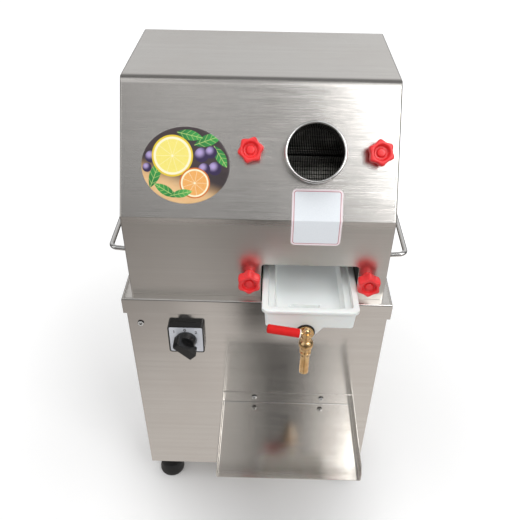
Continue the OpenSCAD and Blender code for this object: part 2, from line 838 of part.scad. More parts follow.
// Star knob: six-pointed head with a dished face on a round neck, bored for its stud
module star_knob(turn) {
    r = knob_d / 2;
    head_h = knob_h - knob_neck_h;
    scallop_r = 0.6 * r;
    scallop_at = 0.75 * r + scallop_r;
    dish_r = 0.56 * r;
    dish_h = 0.4 * head_h;
    boss_r = 0.3 * r;
    edge = 3;
    color("#d9262b") difference() {
        union() {
            translate([0, 0, gap]) cylinder(d = knob_neck_d, h = knob_neck_h + edge);
            intersection() {
                translate([0, 0, knob_neck_h]) linear_extrude(head_h) difference() {
                    circle(r);
                    for (i = [0:knob_tips - 1])
                        rotate(turn + (i + 0.5) * 360 / knob_tips)
                            translate([scallop_at, 0]) circle(scallop_r);
                }
                rotate_extrude() polygon([
                    [0, knob_neck_h], [r - 2 * edge, knob_neck_h], [r, knob_neck_h + edge],
                    [r, knob_h - edge], [r - edge, knob_h], [0, knob_h]
                ]);
            }
        }
        rotate_extrude() polygon([
            [boss_r, knob_h - dish_h], [dish_r - 1.5, knob_h - dish_h], [dish_r, knob_h + cut],
            [0, knob_h + cut], [0, knob_h - 0.4 * dish_h], [boss_r, knob_h - 0.4 * dish_h]
        ]);
        translate([0, 0, -cut]) cylinder(d = stud_d + 2 * run, h = stud_out + 2 * cut);
    }
}
module knob_upper_left() { at_knob(-1, true) star_knob(12); }
module knob_upper_right() { at_knob(1, true) star_knob(20); }
module knob_lower_left() { at_knob(-1, false) star_knob(30); }
module knob_lower_right() { at_knob(1, false) star_knob(30); }

// Thick side plate of the press: it follows the hood and carries the bushes and the studs
plate_behind = 52;
plate_under = 22;
plate_back = hood_back_y - plate_behind;
plate_top = hood_z - plate_under;
module press_plate(x) {
    color("#8d9196") difference() {
        intersection() {
            hood_form(x, plate_t, plate_inset);
            translate([x, hood_front, deck_z]) cube([plate_t, plate_back - hood_front, plate_top - deck_z]);
        }
        for (a = [axis_fu, axis_fl, axis_ru, axis_rl]) bar_x(a, x - cut, plate_t + 2 * cut, 2 * bush_r);
        for (upper = [true, false])
            at_knob(x < press_mid ? -1 : 1, upper)
                translate([0, 0, -plate_inset - stud_in]) cylinder(d = stud_d, h = stud_in + cut);
    }
}
module press_plate_left() {
    difference() {
        press_plate(plate_left);
        bar_x(axis_idler, plate_left - cut, plate_t + 2 * cut, idler_pin_d);
    }
}
module press_plate_right() { press_plate(plate_right); }

// Four bars that hold the side plates apart
tie_front = [26, -45];
tie_top = [-3, -35];
tie_rear = [22, 66];
tie_low = [-50, 60];
tie_places = [
    [hood_front, crease_z] + tie_front,
    [bend_y, hood_z] + tie_top,
    axis_ru + tie_rear,
    [plate_back, deck_z] + tie_low
];
module tie_bars() {
    color("gainsboro") for (p = tie_places) bar_x(p, inner_left, inner_w, tie_d);
}

// Eight flanged bushes in the side plates
module bronze_bushes() {
    color("#b5803a") for (a = [axis_fu, axis_fl, axis_ru, axis_rl]) {
        bush(a, plate_left, -bush_flange_t);
        bush(a, plate_right, plate_t);
    }
}
module bush(axis, x, flange_at) {
    difference() {
        union() {
            bar_x(axis, x, plate_t, 2 * bush_r);
            bar_x(axis, x + flange_at, bush_flange_t, 2 * (bush_r + bush_flange));
        }
        bar_x(axis, x - plate_t, 3 * plate_t, journal_d + 2 * run);
    }
}

// The four rollers; the rear upper one is long enough for the drive gear
short_end = gear_left - shaft_end;
module roller_front_upper() { color("#5a5d60") roller(axis_fu, short_end); }
module roller_front_lower() { color("#5a5d60") roller(axis_fl, short_end); }
module roller_rear_upper() { color("#5a5d60") roller(axis_ru, drive_left - shaft_end); }
module roller_rear_lower() { color("#5a5d60") roller(axis_rl, short_end); }

module roller_gear(axis, phase) {
    color("#6d7073") gear(axis, gear_left, roller_gear_w, roller_teeth, roller_module, phase, journal_d);
}
module gear_front_upper() { roller_gear(axis_fu, phase_fu); }
module gear_front_lower() { roller_gear(axis_fl, phase_fl); }
module gear_rear_upper() { roller_gear(axis_ru, phase_ru); }
module gear_rear_lower() { roller_gear(axis_rl, phase_rl); }

// Idler between the two upper rollers, turning on a pin in the left plate
module idler_gear() {
    color("#6d7073") gear(axis_idler, gear_left, roller_gear_w, roller_teeth, roller_module,
                          phase_idler, idler_pin_d + 2 * run);
}
module idler_pin() {
    color("gainsboro") {
        bar_x(axis_idler, gear_left - gap - 3, inner_left - gear_left + gap + 3, idler_pin_d);
        bar_x(axis_idler, gear_left - gap - 3, 3, idler_pin_d + 10);
        bar_x(axis_idler, gear_left + roller_gear_w + gap, plate_left - gear_left - roller_gear_w - gap,
              idler_pin_d + 10);
    }
}

// Large gear on the rear upper roller's shaft
module drive_gear() {
    color("#6d7073") difference() {
        gear(axis_ru, drive_left, drive_gear_w, drive_teeth, drive_module, phase_ru, journal_d);
        translate([drive_left, axis_ru[0], axis_ru[1]]) rotate([0, 90, 0])
            for (i = [0:5]) rotate(60 * i) translate([0.6 * drive_teeth * drive_module / 2, 0, -cut])
                cylinder(d = 0.36 * drive_teeth * drive_module / 2, h = drive_gear_w + 2 * cut);
    }
}

// Sloping pan under the rollers that leads the juice forward into the tray
pan_wall_h = 14;
pan_rear = [70, -26];
pan_front = [-10, 14];
module juice_pan() {
    wall_h = pan_wall_h;
    rear = axis_rl + pan_rear;
    front = [axis_fl[0], tray_top] + pan_front;
    color("gainsboro") {
        along_x(inner_left, inner_w)
            polygon([rear, front, front + [0, -sheet_t], rear + [0, -sheet_t]]);
        for (x = [inner_left, plate_right - sheet_t])
            along_x(x, sheet_t) polygon([rear, front, front + [0, wall_h], rear + [0, wall_h]]);
    }
}

// Chute behind the rollers that leads the pressed cane to the outlet
chute_behind = 46;
chute_drop = 16;
chute_wall_h = 40;
chute_start_h = 16;
module cane_chute() {
    wall_h = chute_wall_h;
    start_h = chute_start_h;
    start = nip_rear + chute_behind * feed - chute_drop * across;
    finish = [hood_back_y - sheet_t, deck_z + outlet_z];
    half = outlet_w / 2;
    color("gainsboro") {
        along_x(press_mid - half - sheet_t, 2 * (half + sheet_t))
            polygon([start, finish, finish + [0, -sheet_t], start + [0, -sheet_t]]);
        for (x = [press_mid - half - sheet_t, press_mid + half])
            along_x(x, sheet_t) polygon([start, finish, finish + [0, wall_h], start + [0, start_h]]);
    }
}

// Countershaft with the pinion cut on its end
module pinion_shaft() {
    end = drive_left + drive_gear_w + 3;
    color("#6d7073") {
        along_x(drive_left, drive_gear_w) translate(axis_counter)
            gear_outline(pinion_teeth, drive_module, phase_pinion);
        bar_x(axis_counter, pulley_left - shaft_end, end - pulley_left + shaft_end, shaft_d);
    }
}
module large_pulley() { color("#54585c") pulley(axis_counter, large_pulley_d, shaft_d); }

// Two bearing blocks on the stand
block_h = 34;
block_d = 46;
module bearing_blocks() {
    base_l = 86;
    base_h = 12;
    edge = 0.03 * stand_w;
    color("#4d5a66") for (x = [stand_left + edge, stand_right - edge - block_w])
        difference() {
            union() {
                along_x(x, block_w) translate(axis_counter) {
                    circle(d = block_d);
                    translate([-block_d / 2, -block_h]) square([block_d, block_h]);
                    translate([-base_l / 2, -block_h]) square([base_l, base_h]);
                }
            }
            bar_x(axis_counter, x - cut, block_w + 2 * cut, shaft_d + 2 * run);
        }
}

// Folded steel stand on the deck that carries the bearing blocks
module countershaft_stand() {
    wall = 6;
    stand_l = 90;
    top = axis_counter[1] - block_h;
    color("#4d5a66") along_y(axis_counter[0] - stand_l / 2, stand_l) {
        translate([stand_left, top - wall]) square([stand_w, wall]);
        for (x = [stand_left, stand_right - wall]) translate([x, deck_z]) square([wall, top - deck_z]);
    }
}

// Endless belt from the motor pulley up to the large pulley
module drive_belt() {
    color("#202020") along_x(pulley_left + (pulley_w - belt_w) / 2, belt_w) difference() {
        belt_loop(belt_t / 2);
        belt_loop(-belt_t / 2);
    }
}

module motor_pulley() { color("#54585c") pulley(axis_motor, motor_pulley_d, shaft_d); }
gearbox_gap = 14;
gearbox_x = pulley_left + pulley_w + gearbox_gap;
shaft_in = 40;
module motor_shaft() {
    x0 = pulley_left - shaft_end;
    color("gainsboro") bar_x(axis_motor, x0, gearbox_x + shaft_in - x0, shaft_d);
}

// Gearbox with its round front boss, bored for the shaft
module gearbox() {
    r = 14;
    color("#3f6f8f") difference() {
        union() {
            along_x(gearbox_x + 6, gearbox_l - 6) translate(axis_motor) rounded(gearbox_w, gearbox_w, r);
            bar_x(axis_motor, gearbox_x, 7, 0.6 * gearbox_w);
            translate([gearbox_x + 12, axis_motor[0] - gearbox_w / 2 - 14, platform_z])
                cube([gearbox_l - 20, gearbox_w + 28, 10]);
        }
        bar_x(axis_motor, gearbox_x - cut, shaft_in + 2 * cut, shaft_d + 2 * run);
    }
}

// Ribbed motor body with a fan cover at its end
module motor_body() {
    x0 = gearbox_x + gearbox_l;
    r = motor_d / 2;
    rib = 3;
    rib_h = 5;
    bell_l = 14;
    fan_l = 38;
    color("#3f6f8f") {
        bar_x(axis_motor, x0, bell_l, motor_d);
        along_x(x0 + bell_l, motor_l) translate(axis_motor) {
            circle(r - rib_h);
            for (i = [0:motor_ribs - 1]) rotate(i * 360 / motor_ribs)
                translate([0, -rib / 2]) square([r, rib]);
        }
        bar_x(axis_motor, x0 + bell_l + motor_l, fan_l, motor_d);
    }
}

// Folded platform across the cabinet that carries the motor
platform_drop = 6;
platform_margin = 30;
platform_t = 3;
platform_fold = 24;
platform_z = axis_motor[1] - gearbox_w / 2 - platform_drop;
module motor_platform() {
    w = cabinet_w - 4 * sheet_t;
    depth = gearbox_w + 2 * platform_margin;
    plate = platform_t;
    fold = platform_fold;
    y0 = axis_motor[0] - depth / 2;
    color("silver") along_x(-w / 2, w) translate([y0, platform_z - fold]) difference() {
        square([depth, fold]);
        translate([plate, -cut]) square([depth - 2 * plate, fold - plate + cut]);
    }
}

// Rim of the tray: a band with round corners and a soft upper edge
module tray_rim_band() {
    edge = 2.5;
    middle = tray_front + tray_l / 2;
    intersection() {
        translate([tray_x, middle, tray_top - tray_rim_h]) linear_extrude(tray_rim_h)
            rounded(tray_w, tray_l, tray_r);
        along_x(tray_x - tray_w / 2, tray_w)
            translate([middle, tray_top]) fold_cap(tray_l, tray_rim_h, edge);
        along_y(tray_front, tray_l)
            translate([tray_x, tray_top]) fold_cap(tray_w, tray_rim_h, edge);
    }
}

// Block between two heights that leans in towards its foot at its sides and its back
module tray_block(half, front, back, lean, z0, z1) {
    r = 6;
    thin = 0.01;
    hull() for (side = [-1, 1], top = [0, 1]) {
        in = r + (1 - top) * lean;
        z = top == 0 ? z0 : z1 - thin;
        for (y = [front + r, back - in])
            translate([tray_x + side * (half - in), y, z]) cylinder(r = r, h = thin, $fn = 32);
    }
}

// Drop under the tray's front: sloping sides that run into a round bottom about the tap's axis
module sump(in, over) {
    r = sump_h - tap_drop - in;
    half = sump_top_w / 2 - 1.3 * in;
    turn = atan2(tap_drop, half) - acos(r / norm([half, tap_drop]));
    right = r * [cos(turn), sin(turn)];
    left = [-right[0], right[1]];
    along_y(tray_wall_front + in, sump_back - tray_wall_front - 2 * in) translate([tap_x, tap_z]) {
        polygon([
            [-half, tap_drop + over], [-half, tap_drop], left, [0, right[1] / 2], right,
            [half, tap_drop], [half, tap_drop + over]
        ]);
        intersection() {
            circle(r);
            polygon([[0, 0], 2 * right, 2 * (left + right), 2 * left]);
        }
    }
}

// Juice tray: moulded white drawer with a thick rim, side ledges, a well and a sump for the tap
module juice_tray() {
    half = tray_w / 2 - tray_rim;
    mouth = tray_w / 2 - tray_band;
    well = mouth - tray_ledge;
    ledge_z = tray_top - tray_ledge_drop;
    front = tray_front + tray_band;
    back = tray_front + tray_l - tray_band;
    side_in = well + tray_wall;
    side_w = half - tray_draft - tray_wall - side_in;
    color("white") difference() {
        union() {
            tray_block(half, tray_wall_front, tray_back, tray_draft, tray_z, tray_top - tray_rim_h / 2);
            tray_rim_band();
            sump(0, tray_wall);
        }
        tray_block(mouth, front, back, 1, ledge_z, tray_top + cut);
        tray_block(well, front, back, well_draft, tray_z + tray_wall, ledge_z + cut);
        sump(tray_wall, tray_wall + cut);
        for (side = [-1, 1])
            translate([tray_x + side * (side_in + side_w / 2) - side_w / 2, front, tray_z - cut])
                cube([side_w, back - well_draft - front, ledge_z - tray_wall - tray_z + cut]);
        translate([tap_x, tray_wall_front - cut, tap_z]) rotate([-90, 0, 0])
            cylinder(d = inlet_d, h = tray_wall + 2 * cut);
    }
}

// Rubber ring between the tap and the tray
module tap_gasket() {
    color("#202020") translate([tap_x, tray_wall_front, tap_z]) rotate([90, 0, 0]) difference() {
        cylinder(d = gasket_d, h = gasket_t);
        translate([0, 0, -cut]) cylinder(d = inlet_d, h = gasket_t + 2 * cut);
    }
}

// Brass tap body: threaded inlet, wall flange, round valve chamber, bonnet and straight spout
module tap_body() {
    inlet_l = 12;
    flange_y = tray_wall_front - gasket_t;
    back = tray_wall_front + tray_wall + inlet_l;
    color("#c9963f") difference() {
        union() {
            translate([tap_x, back, tap_z]) rotate([90, 0, 0]) cylinder(d = inlet_d, h = back - tap_y);
            translate([tap_x, flange_y, tap_z]) rotate([90, 0, 0])
                cylinder(d = tap_flange_d, h = tap_flange_t);
            translate([tap_x, tap_y, tap_z]) {
                sphere(tap_body_r);
                cylinder(d = 15, h = bonnet_top - tap_z);
                translate([0, 0, -spout_l]) rotate_extrude() polygon([
                    [0, 0], [spout_d / 2 - 1, 0], [spout_d / 2, 1], [spout_d / 2, spout_l - 24],
                    [spout_d / 2 + 1.6, spout_l - 18], [spout_d / 2 + 1.6, spout_l - 16.5],
                    [spout_d / 2 - 0.4, spout_l - 15.5], [spout_d / 2 - 0.4, spout_l - 14],
                    [spout_d / 2 + 1.8, spout_l - 12], [spout_d / 2 + 1.8, spout_l],
                    [0, spout_l]
                ]);
            }
        }
        translate([tap_x, back + cut, tap_z]) rotate([90, 0, 0])
            cylinder(d = inlet_bore, h = back + cut - tap_y);
        translate([tap_x, tap_y, tap_z]) {
            sphere(ball_d / 2 + gap);
            cylinder(d = stem_d + 2 * run, h = bonnet_top - tap_z + cut);
            translate([0, 0, -spout_l - cut]) cylinder(d = spout_bore, h = spout_l + cut);
        }
    }
}

// Nut that holds the tap inside the sump
module tap_lock_nut() {
    nut_h = 6;
    seat = tray_wall_front + tray_wall;
    color("#c9963f") translate([tap_x, seat, tap_z]) rotate([-90, 0, 0]) difference() {
        cylinder(d = inlet_d + 8, h = nut_h, $fn = 6);
        translate([0, 0, -cut]) cylinder(d = inlet_d, h = nut_h + 2 * cut);
    }
}

// Ball with an angled port: it opens downwards and, turned by the lever, to the inlet
module tap_ball() {
    port = 7;
    color("gainsboro") translate([tap_x, tap_y, tap_z]) difference() {
        sphere(ball_d / 2);
        translate([0, 0, -ball_d]) cylinder(d = port, h = ball_d);
        rotate([0, 90, 0]) cylinder(d = port, h = ball_d);
        translate([0, 0, ball_d / 2 - 2]) cylinder(d = stem_d, h = ball_d);
    }
}

// Lever with its stem, its hub and its cap nut, closed when it points to the left
module tap_lever() {
    hub_d = 14;
    nut_r = 5.5;
    rod_l = hub_d / 2 + 5 + sleeve_l - 5;
    hub_z = bonnet_top + gap;
    stem_z = tap_z + ball_d / 2 - 2;
    color("#c9963f") translate([tap_x, tap_y, 0]) {
        translate([0, 0, stem_z]) cylinder(d = stem_d, h = hub_z + 1 - stem_z);
        translate([0, 0, hub_z]) cylinder(d = hub_d, h = hub_h);
        translate([0, 0, hub_z + hub_h]) cylinder(r = nut_r, h = 2.5);
        translate([0, 0, hub_z + hub_h + 2.5]) intersection() {
            sphere(nut_r);
            cylinder(r = nut_r, h = nut_r);
        }
        translate([0, 0, hub_z + hub_h / 2]) rotate([0, lever_tilt - 90, 0])
            cylinder(d = lever_rod_d, h = rod_l);
    }
}

// Red plastic sleeve over the lever's rod
module tap_sleeve() {
    start = 12;
    cap = 3;
    rod_end = 7 + sleeve_l;
    color("#d9262b") translate([tap_x, tap_y, bonnet_top + gap + hub_h / 2]) rotate([0, lever_tilt - 90, 0])
        difference() {
            rotate_extrude() {
                translate([0, start]) square([sleeve_d / 2, sleeve_l - cap]);
                translate([0, start + sleeve_l - cap]) square([sleeve_d / 2 - cap, cap]);
                intersection() {
                    translate([sleeve_d / 2 - cap, start + sleeve_l - cap]) circle(cap);
                    translate([0, start + sleeve_l - cap]) square([sleeve_d / 2, cap]);
                }
            }
            translate([0, 0, start - cut]) cylinder(d = lever_rod_d, h = rod_end - start + cut);
        }
}

// Contact block of the switch behind the sheet, with the neck that passes through it
module switch_body() {
    block_w = 48;
    block_l = 52;
    y0 = cabinet_front_y + sheet_t;
    color("#2a2a2a") difference() {
        union() {
            along_y(y0, block_l) translate([switch_x, switch_z]) rounded(block_w, block_w, 4);
            along_y(cabinet_front_y, sheet_t) translate([switch_x, switch_z]) circle(d = switch_neck_d);
        }
        along_y(cabinet_front_y - cut, spindle_in + cut)
            translate([switch_x, switch_z]) circle(d = spindle_d + 2 * run);
    }
}

// Square frame of the switch, with a recess for its face plate
module switch_frame() {
    color("#1e1e1e") difference() {
        along_y(switch_face, switch_d) translate([switch_x, switch_z])
            rounded(switch_w, switch_w, switch_edge);
        along_y(switch_face - cut, cut + face_t) switch_face_outline();
        along_y(switch_face - cut, switch_d + 2 * cut)
            translate([switch_x, switch_z]) circle(d = spindle_d + screw_play);
    }
}

// Outline of the face plate inside the frame's border
module switch_face_outline() {
    w = switch_w - 2 * switch_border;
    translate([switch_x, switch_z]) rounded(w, w, switch_edge - switch_border);
}

// Silver face plate that carries the positions' marks
module switch_plate() {
    color("silver") along_y(switch_face, face_t) difference() {
        switch_face_outline();
        translate([switch_x, switch_z]) circle(d = spindle_d + screw_play);
    }
}

// Switch knob: round base with a raised grip bar, set at forty-five degrees to the left
module switch_knob() {
    base_h = 12;
    r = dial_d / 2;
    spindle_l = gap + switch_d + spindle_in - 1;
    color("#161616") translate([switch_x, switch_face - gap, switch_z]) rotate([90, 0, 0]) {
        rotate_extrude() polygon([
            [0, 0], [r, 0], [r, 2], [r - 2.5, base_h - 1], [r - 4, base_h], [0, base_h]
        ]);
        rotate(135) intersection() {
            linear_extrude(grip_h) rounded(grip_l, grip_w, 4);
            rotate([90, 0, 0]) translate([0, 0, -grip_w]) linear_extrude(2 * grip_w) polygon([
                [-grip_l / 2, base_h - 4], [grip_l / 2, base_h - 4], [grip_l / 2, grip_h - 6],
                [grip_l / 2 - 3, grip_h], [-grip_l / 2 + 3, grip_h], [-grip_l / 2, grip_h - 6]
            ]);
        }
        translate([0, 0, -spindle_l]) cylinder(d = spindle_d, h = spindle_l);
    }
}

// Solid form of the shelf with round lower edges, drawn in by a sheet for its inside
module shelf_block(in, r, over) {
    tall = shelf_lip - in + over;
    intersection() {
        along_y(shelf_front - over, shelf_d - in + over)
            translate([shelf_x, shelf_z + in]) fold_block(shelf_w - 2 * in, tall, r);
        along_x(shelf_x - shelf_w / 2, shelf_w)
            translate([shelf_front, shelf_z + in]) fold_block(2 * (shelf_d - in), tall, r);
    }
}

// Splash shelf: folded sheet with a back flange and two side lips, clipped at the front
module splash_shelf() {
    top = shelf_z + shelf_lip;
    color("silver") difference() {
        shelf_block(0, fold_r, 0);
        shelf_block(sheet_t, fold_in, cut);
        along_x(shelf_x - shelf_w, 2 * shelf_w) polygon([
            [shelf_front - cut, top - shelf_clip - cut], [shelf_front + shelf_clip + cut, top + cut],
            [shelf_front - cut, top + cut]
        ]);
        along_y(cabinet_front_y - sheet_t - cut, sheet_t + 2 * cut)
            for (s = [-1, 1])
                translate([shelf_x + s * shelf_screw_gap / 2, shelf_screw_z]) circle(d = screw_d);
    }
}

cabinet_front();
cabinet_side_left();
cabinet_side_right();
cabinet_back();
cabinet_floor();
deck_cap();
cabinet_screws();
foot_pads();
foot_stems();
hood_cover();
hood_side_left();
hood_side_right();
hood_back();
feed_tube();
handle_left();
handle_right();
cover_studs();
knob_upper_left();
knob_upper_right();
knob_lower_left();
knob_lower_right();
press_plate_left();
press_plate_right();
tie_bars();
bronze_bushes();
roller_front_upper();
roller_front_lower();
roller_rear_upper();
roller_rear_lower();
gear_front_upper();
gear_front_lower();
gear_rear_upper();
gear_rear_lower();
idler_gear();
idler_pin();
drive_gear();
juice_pan();
cane_chute();
pinion_shaft();
large_pulley();
bearing_blocks();
countershaft_stand();
drive_belt();
motor_pulley();
motor_shaft();
gearbox();
motor_body();
motor_platform();
juice_tray();
tap_gasket();
tap_body();
tap_lock_nut();
tap_ball();
tap_lever();
tap_sleeve();
switch_body();
switch_frame();
switch_plate();
switch_knob();
splash_shelf();
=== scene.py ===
import bmesh
import bpy
import numpy as np
from mathutils import Matrix


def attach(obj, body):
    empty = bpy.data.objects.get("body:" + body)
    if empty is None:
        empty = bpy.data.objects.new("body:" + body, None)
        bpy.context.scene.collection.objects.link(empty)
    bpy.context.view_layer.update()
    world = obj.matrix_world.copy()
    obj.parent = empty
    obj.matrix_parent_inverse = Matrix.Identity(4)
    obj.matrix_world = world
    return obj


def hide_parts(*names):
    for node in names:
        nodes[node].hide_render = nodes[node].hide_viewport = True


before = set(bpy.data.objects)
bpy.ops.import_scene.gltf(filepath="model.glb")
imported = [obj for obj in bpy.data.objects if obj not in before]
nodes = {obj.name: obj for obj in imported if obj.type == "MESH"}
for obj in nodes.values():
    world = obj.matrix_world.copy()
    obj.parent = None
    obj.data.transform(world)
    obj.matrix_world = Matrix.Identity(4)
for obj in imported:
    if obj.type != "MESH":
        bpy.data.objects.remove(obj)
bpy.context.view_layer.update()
scene = bpy.context.scene

# Viewpoint: a standing person's eye in front of the machine, looking down at its hood.
# The turn, tilt and roll are those of a hand-held picture, on a square frame.
view_from = (0.0152, -0.8351, 1.2095)
view_pitch, view_yaw, view_roll = np.radians([38.26, 0.83, -0.86])
view_focal = 600.85 / 520
film_width = 36


def camera_axes(pitch, yaw, roll):
    """Right, up and back axes as columns.

    The view looks along +Y, tips down by pitch, turns about Z by yaw and rolls about itself.
    """
    turn = np.array([[np.cos(yaw), -np.sin(yaw), 0], [np.sin(yaw), np.cos(yaw), 0], [0, 0, 1]])
    ahead = turn @ [0, np.cos(pitch), -np.sin(pitch)]
    right = turn @ [1, 0, 0]
    down = turn @ [0, -np.sin(pitch), -np.cos(pitch)]
    rolled_right = np.cos(roll) * right + np.sin(roll) * down
    rolled_down = np.cos(roll) * down - np.sin(roll) * right
    return np.stack([rolled_right, -rolled_down, -ahead], axis=1)


lens = bpy.data.cameras.new("view")
lens.sensor_width = film_width
lens.lens = film_width * view_focal
lens.clip_start = 0.01
lens.clip_end = 50
camera = bpy.data.objects.new("view", lens)
pose = np.eye(4)
pose[:3, :3] = camera_axes(view_pitch, view_yaw, view_roll)
pose[:3, 3] = view_from
camera.matrix_world = Matrix(pose)
scene.collection.objects.link(camera)
scene.camera = camera
scene.view_settings.view_transform = "Standard"

# Studio: a pale seamless floor in white surroundings, with a large soft box to the front right,
# a narrow window to the front left and dim room between them, as the brushed steel shows them.


class Tone:
    """One shader value: it wraps an output socket, and arithmetic on it adds Math nodes."""

    def __init__(self, tree, socket=None):
        self.tree, self.socket = tree, socket

    def node(self, kind, settings=None, inputs=None, out=0):
        """Adds a node of any type: first its settings, then its sockets' values or links."""
        made = self.tree.nodes.new(kind)
        for key, value in (settings or {}).items():
            setattr(made, key, value)
        for key, value in (inputs or {}).items():
            if isinstance(value, Tone):
                self.tree.links.new(value.socket, made.inputs[key])
            else:
                made.inputs[key].default_value = value
        return Tone(self.tree, made.outputs[out]) if out is not None else None

    def math(self, operation, a, b=0.0):
        return self.node("ShaderNodeMath", {"operation": operation}, {0: a, 1: b})

    def __add__(self, other): return self.math("ADD", self, other)
    def __radd__(self, other): return self.math("ADD", other, self)
    def __sub__(self, other): return self.math("SUBTRACT", self, other)
    def __rsub__(self, other): return self.math("SUBTRACT", other, self)
    def __mul__(self, other): return self.math("MULTIPLY", self, other)
    def __rmul__(self, other): return self.math("MULTIPLY", other, self)
    def __truediv__(self, other): return self.math("DIVIDE", self, other)

    def root(self): return self.math("SQRT", self)
    def size(self): return self.math("ABSOLUTE", self)
    def sine(self): return self.math("SINE", self)
    def most(self, other): return self.math("MAXIMUM", self, other)
    def least(self, other): return self.math("MINIMUM", self, other)
    def angle_from(self, other): return self.math("ARCTAN2", self, other)

    def step(self, low, high):
        """Smooth mask from 0 at low to 1 at high."""
        return self.node("ShaderNodeMapRange", {"interpolation_type": "SMOOTHSTEP"},
                         {"Value": self, "From Min": low, "From Max": high})

    def band(self, low, high, soft):
        """Smooth mask that is 1 between low and high, with edges as wide as twice soft."""
        return self.step(low - soft, low + soft) * (1 - self.step(high - soft, high + soft))

    def split(self):
        """The three components of a vector."""
        return [self.node("ShaderNodeSeparateXYZ", None, {0: self}, i) for i in range(3)]

    def mix(self, a, b):
        """Colour a where this mask is 0, colour b where it is 1."""
        return self.node("ShaderNodeMix", {"data_type": "RGBA"}, {0: self, 6: a, 7: b}, 2)


def ink(red, green, blue):
    """An 8-bit display colour as the linear colour that a shader takes."""
    c = np.array([red, green, blue]) / 255
    c = np.where(c <= 0.04045, c / 12.92, ((c + 0.055) / 1.055) ** 2.4)
    return (*[float(v) for v in c], 1.0)


def noise(place, scale, stretch=(1, 1, 1), detail=3.0, rough=0.5):
    """Fractal noise on object coordinates in metres, drawn out along the axes with a small stretch."""
    laid = place.node("ShaderNodeMapping", None, {"Vector": place, "Scale": stretch})
    return place.node("ShaderNodeTexNoise", None,
                      {"Vector": laid, "Scale": scale, "Detail": detail, "Roughness": rough})


def tints(level, red, green, blue):
    """A brightness times a fixed tint, as a colour."""
    return level.node("ShaderNodeCombineColor", None, {0: red * level, 1: green * level, 2: blue * level})


floor_span = 6.0
floor_mesh = bpy.data.meshes.new("studio_floor")
floor_mesh.from_pydata([(-floor_span, -floor_span, 0), (floor_span, -floor_span, 0),
                        (floor_span, floor_span, 0), (-floor_span, floor_span, 0)], [], [(0, 1, 2, 3)])
studio_floor = bpy.data.objects.new("studio_floor", floor_mesh)
scene.collection.objects.link(studio_floor)

pale_floor = bpy.data.materials.new("pale_floor")
pale_floor.use_nodes = True
floor_tree = pale_floor.node_tree
floor_tree.nodes.clear()
on_floor = Tone(floor_tree)
floor_place = on_floor.node("ShaderNodeTexCoord", out=3)
floor_x, floor_y, _ = floor_place.split()
patch = noise(floor_place, 1.3, detail=1.0)
floor_tone = patch.mix(ink(236, 236, 236), ink(240, 240, 240))
# The floor's look in the steel depends on its reach in metres from a point ahead of the machine's middle,
# and on its bearing in radians from straight ahead, with the right side positive.
point_ahead = 0.1
reach = (floor_x * floor_x + (floor_y + point_ahead) * (floor_y + point_ahead)).root()
bearing = floor_x.angle_from(0 - floor_y)
near_level = 0.67 + 0.09 * bearing.step(0.25, 0.6)
far_level = 0.39 + 0.27 * bearing.step(0.08, 0.42) + 0.19 * bearing.band(-0.32, -0.15, 0.09)
floor_glow = near_level - reach.step(0.2, 0.78) * (near_level - far_level)
floor_glow = floor_glow * (1 - 0.8 * bearing.band(-0.09, 0.07, 0.05) * reach.step(0.35, 0.55))
floor_glow = floor_glow * (1 - 0.8 * reach.step(1.0, 1.8))
floor_glow = floor_glow * (1 - 0.45 * bearing.size().step(1.2, 1.6) * reach.step(0.6, 1.0))
floor_lift = 0.24 * reach.step(0.08, 0.36) + 0.38 * reach.step(0.4, 1.5)
matt = {"Base Color": floor_tone, "Roughness": 0.95, "Specular IOR Level": 0.0}
own_look = on_floor.node("ShaderNodeBsdfPrincipled", None, matt)
seen_look = on_floor.node("ShaderNodeBsdfPrincipled", None,
                          {**matt, "Emission Color": tints(floor_lift, 1, 1, 1), "Emission Strength": 1.0})
mirror_look = on_floor.node("ShaderNodeBsdfPrincipled", None,
                            {"Base Color": (0, 0, 0, 1), "Specular IOR Level": 0.0, "Emission Strength": 1.0,
                             "Emission Color": tints(floor_glow, 1.0, 0.945, 0.9)})
floor_ray = floor_tree.nodes.new("ShaderNodeLightPath")
floor_seen = on_floor.math("MAXIMUM", Tone(floor_tree, floor_ray.outputs["Is Camera Ray"]),
                           Tone(floor_tree, floor_ray.outputs["Is Transmission Ray"]))
floor_mirrored = Tone(floor_tree, floor_ray.outputs["Is Glossy Ray"])
floor_back = on_floor.node("ShaderNodeMixShader", None, {0: floor_mirrored, 1: own_look, 2: mirror_look})
floor_whole = on_floor.node("ShaderNodeMixShader", None, {0: floor_seen, 1: floor_back, 2: seen_look})
on_floor.node("ShaderNodeOutputMaterial", None, {"Surface": floor_whole}, None)
floor_mesh.materials.append(pale_floor)

world = bpy.data.worlds.new("studio")
scene.world = world
world.use_nodes = True
sky_tree = world.node_tree
sky_tree.nodes.clear()
sky = Tone(sky_tree)
ray = sky_tree.nodes.new("ShaderNodeLightPath")
seen = sky.math("MAXIMUM", Tone(sky_tree, ray.outputs["Is Camera Ray"]),
                Tone(sky_tree, ray.outputs["Is Transmission Ray"]))
mirrored = Tone(sky_tree, ray.outputs["Is Glossy Ray"])
aim_x, aim_y, aim_z = sky.node("ShaderNodeTexCoord").split()
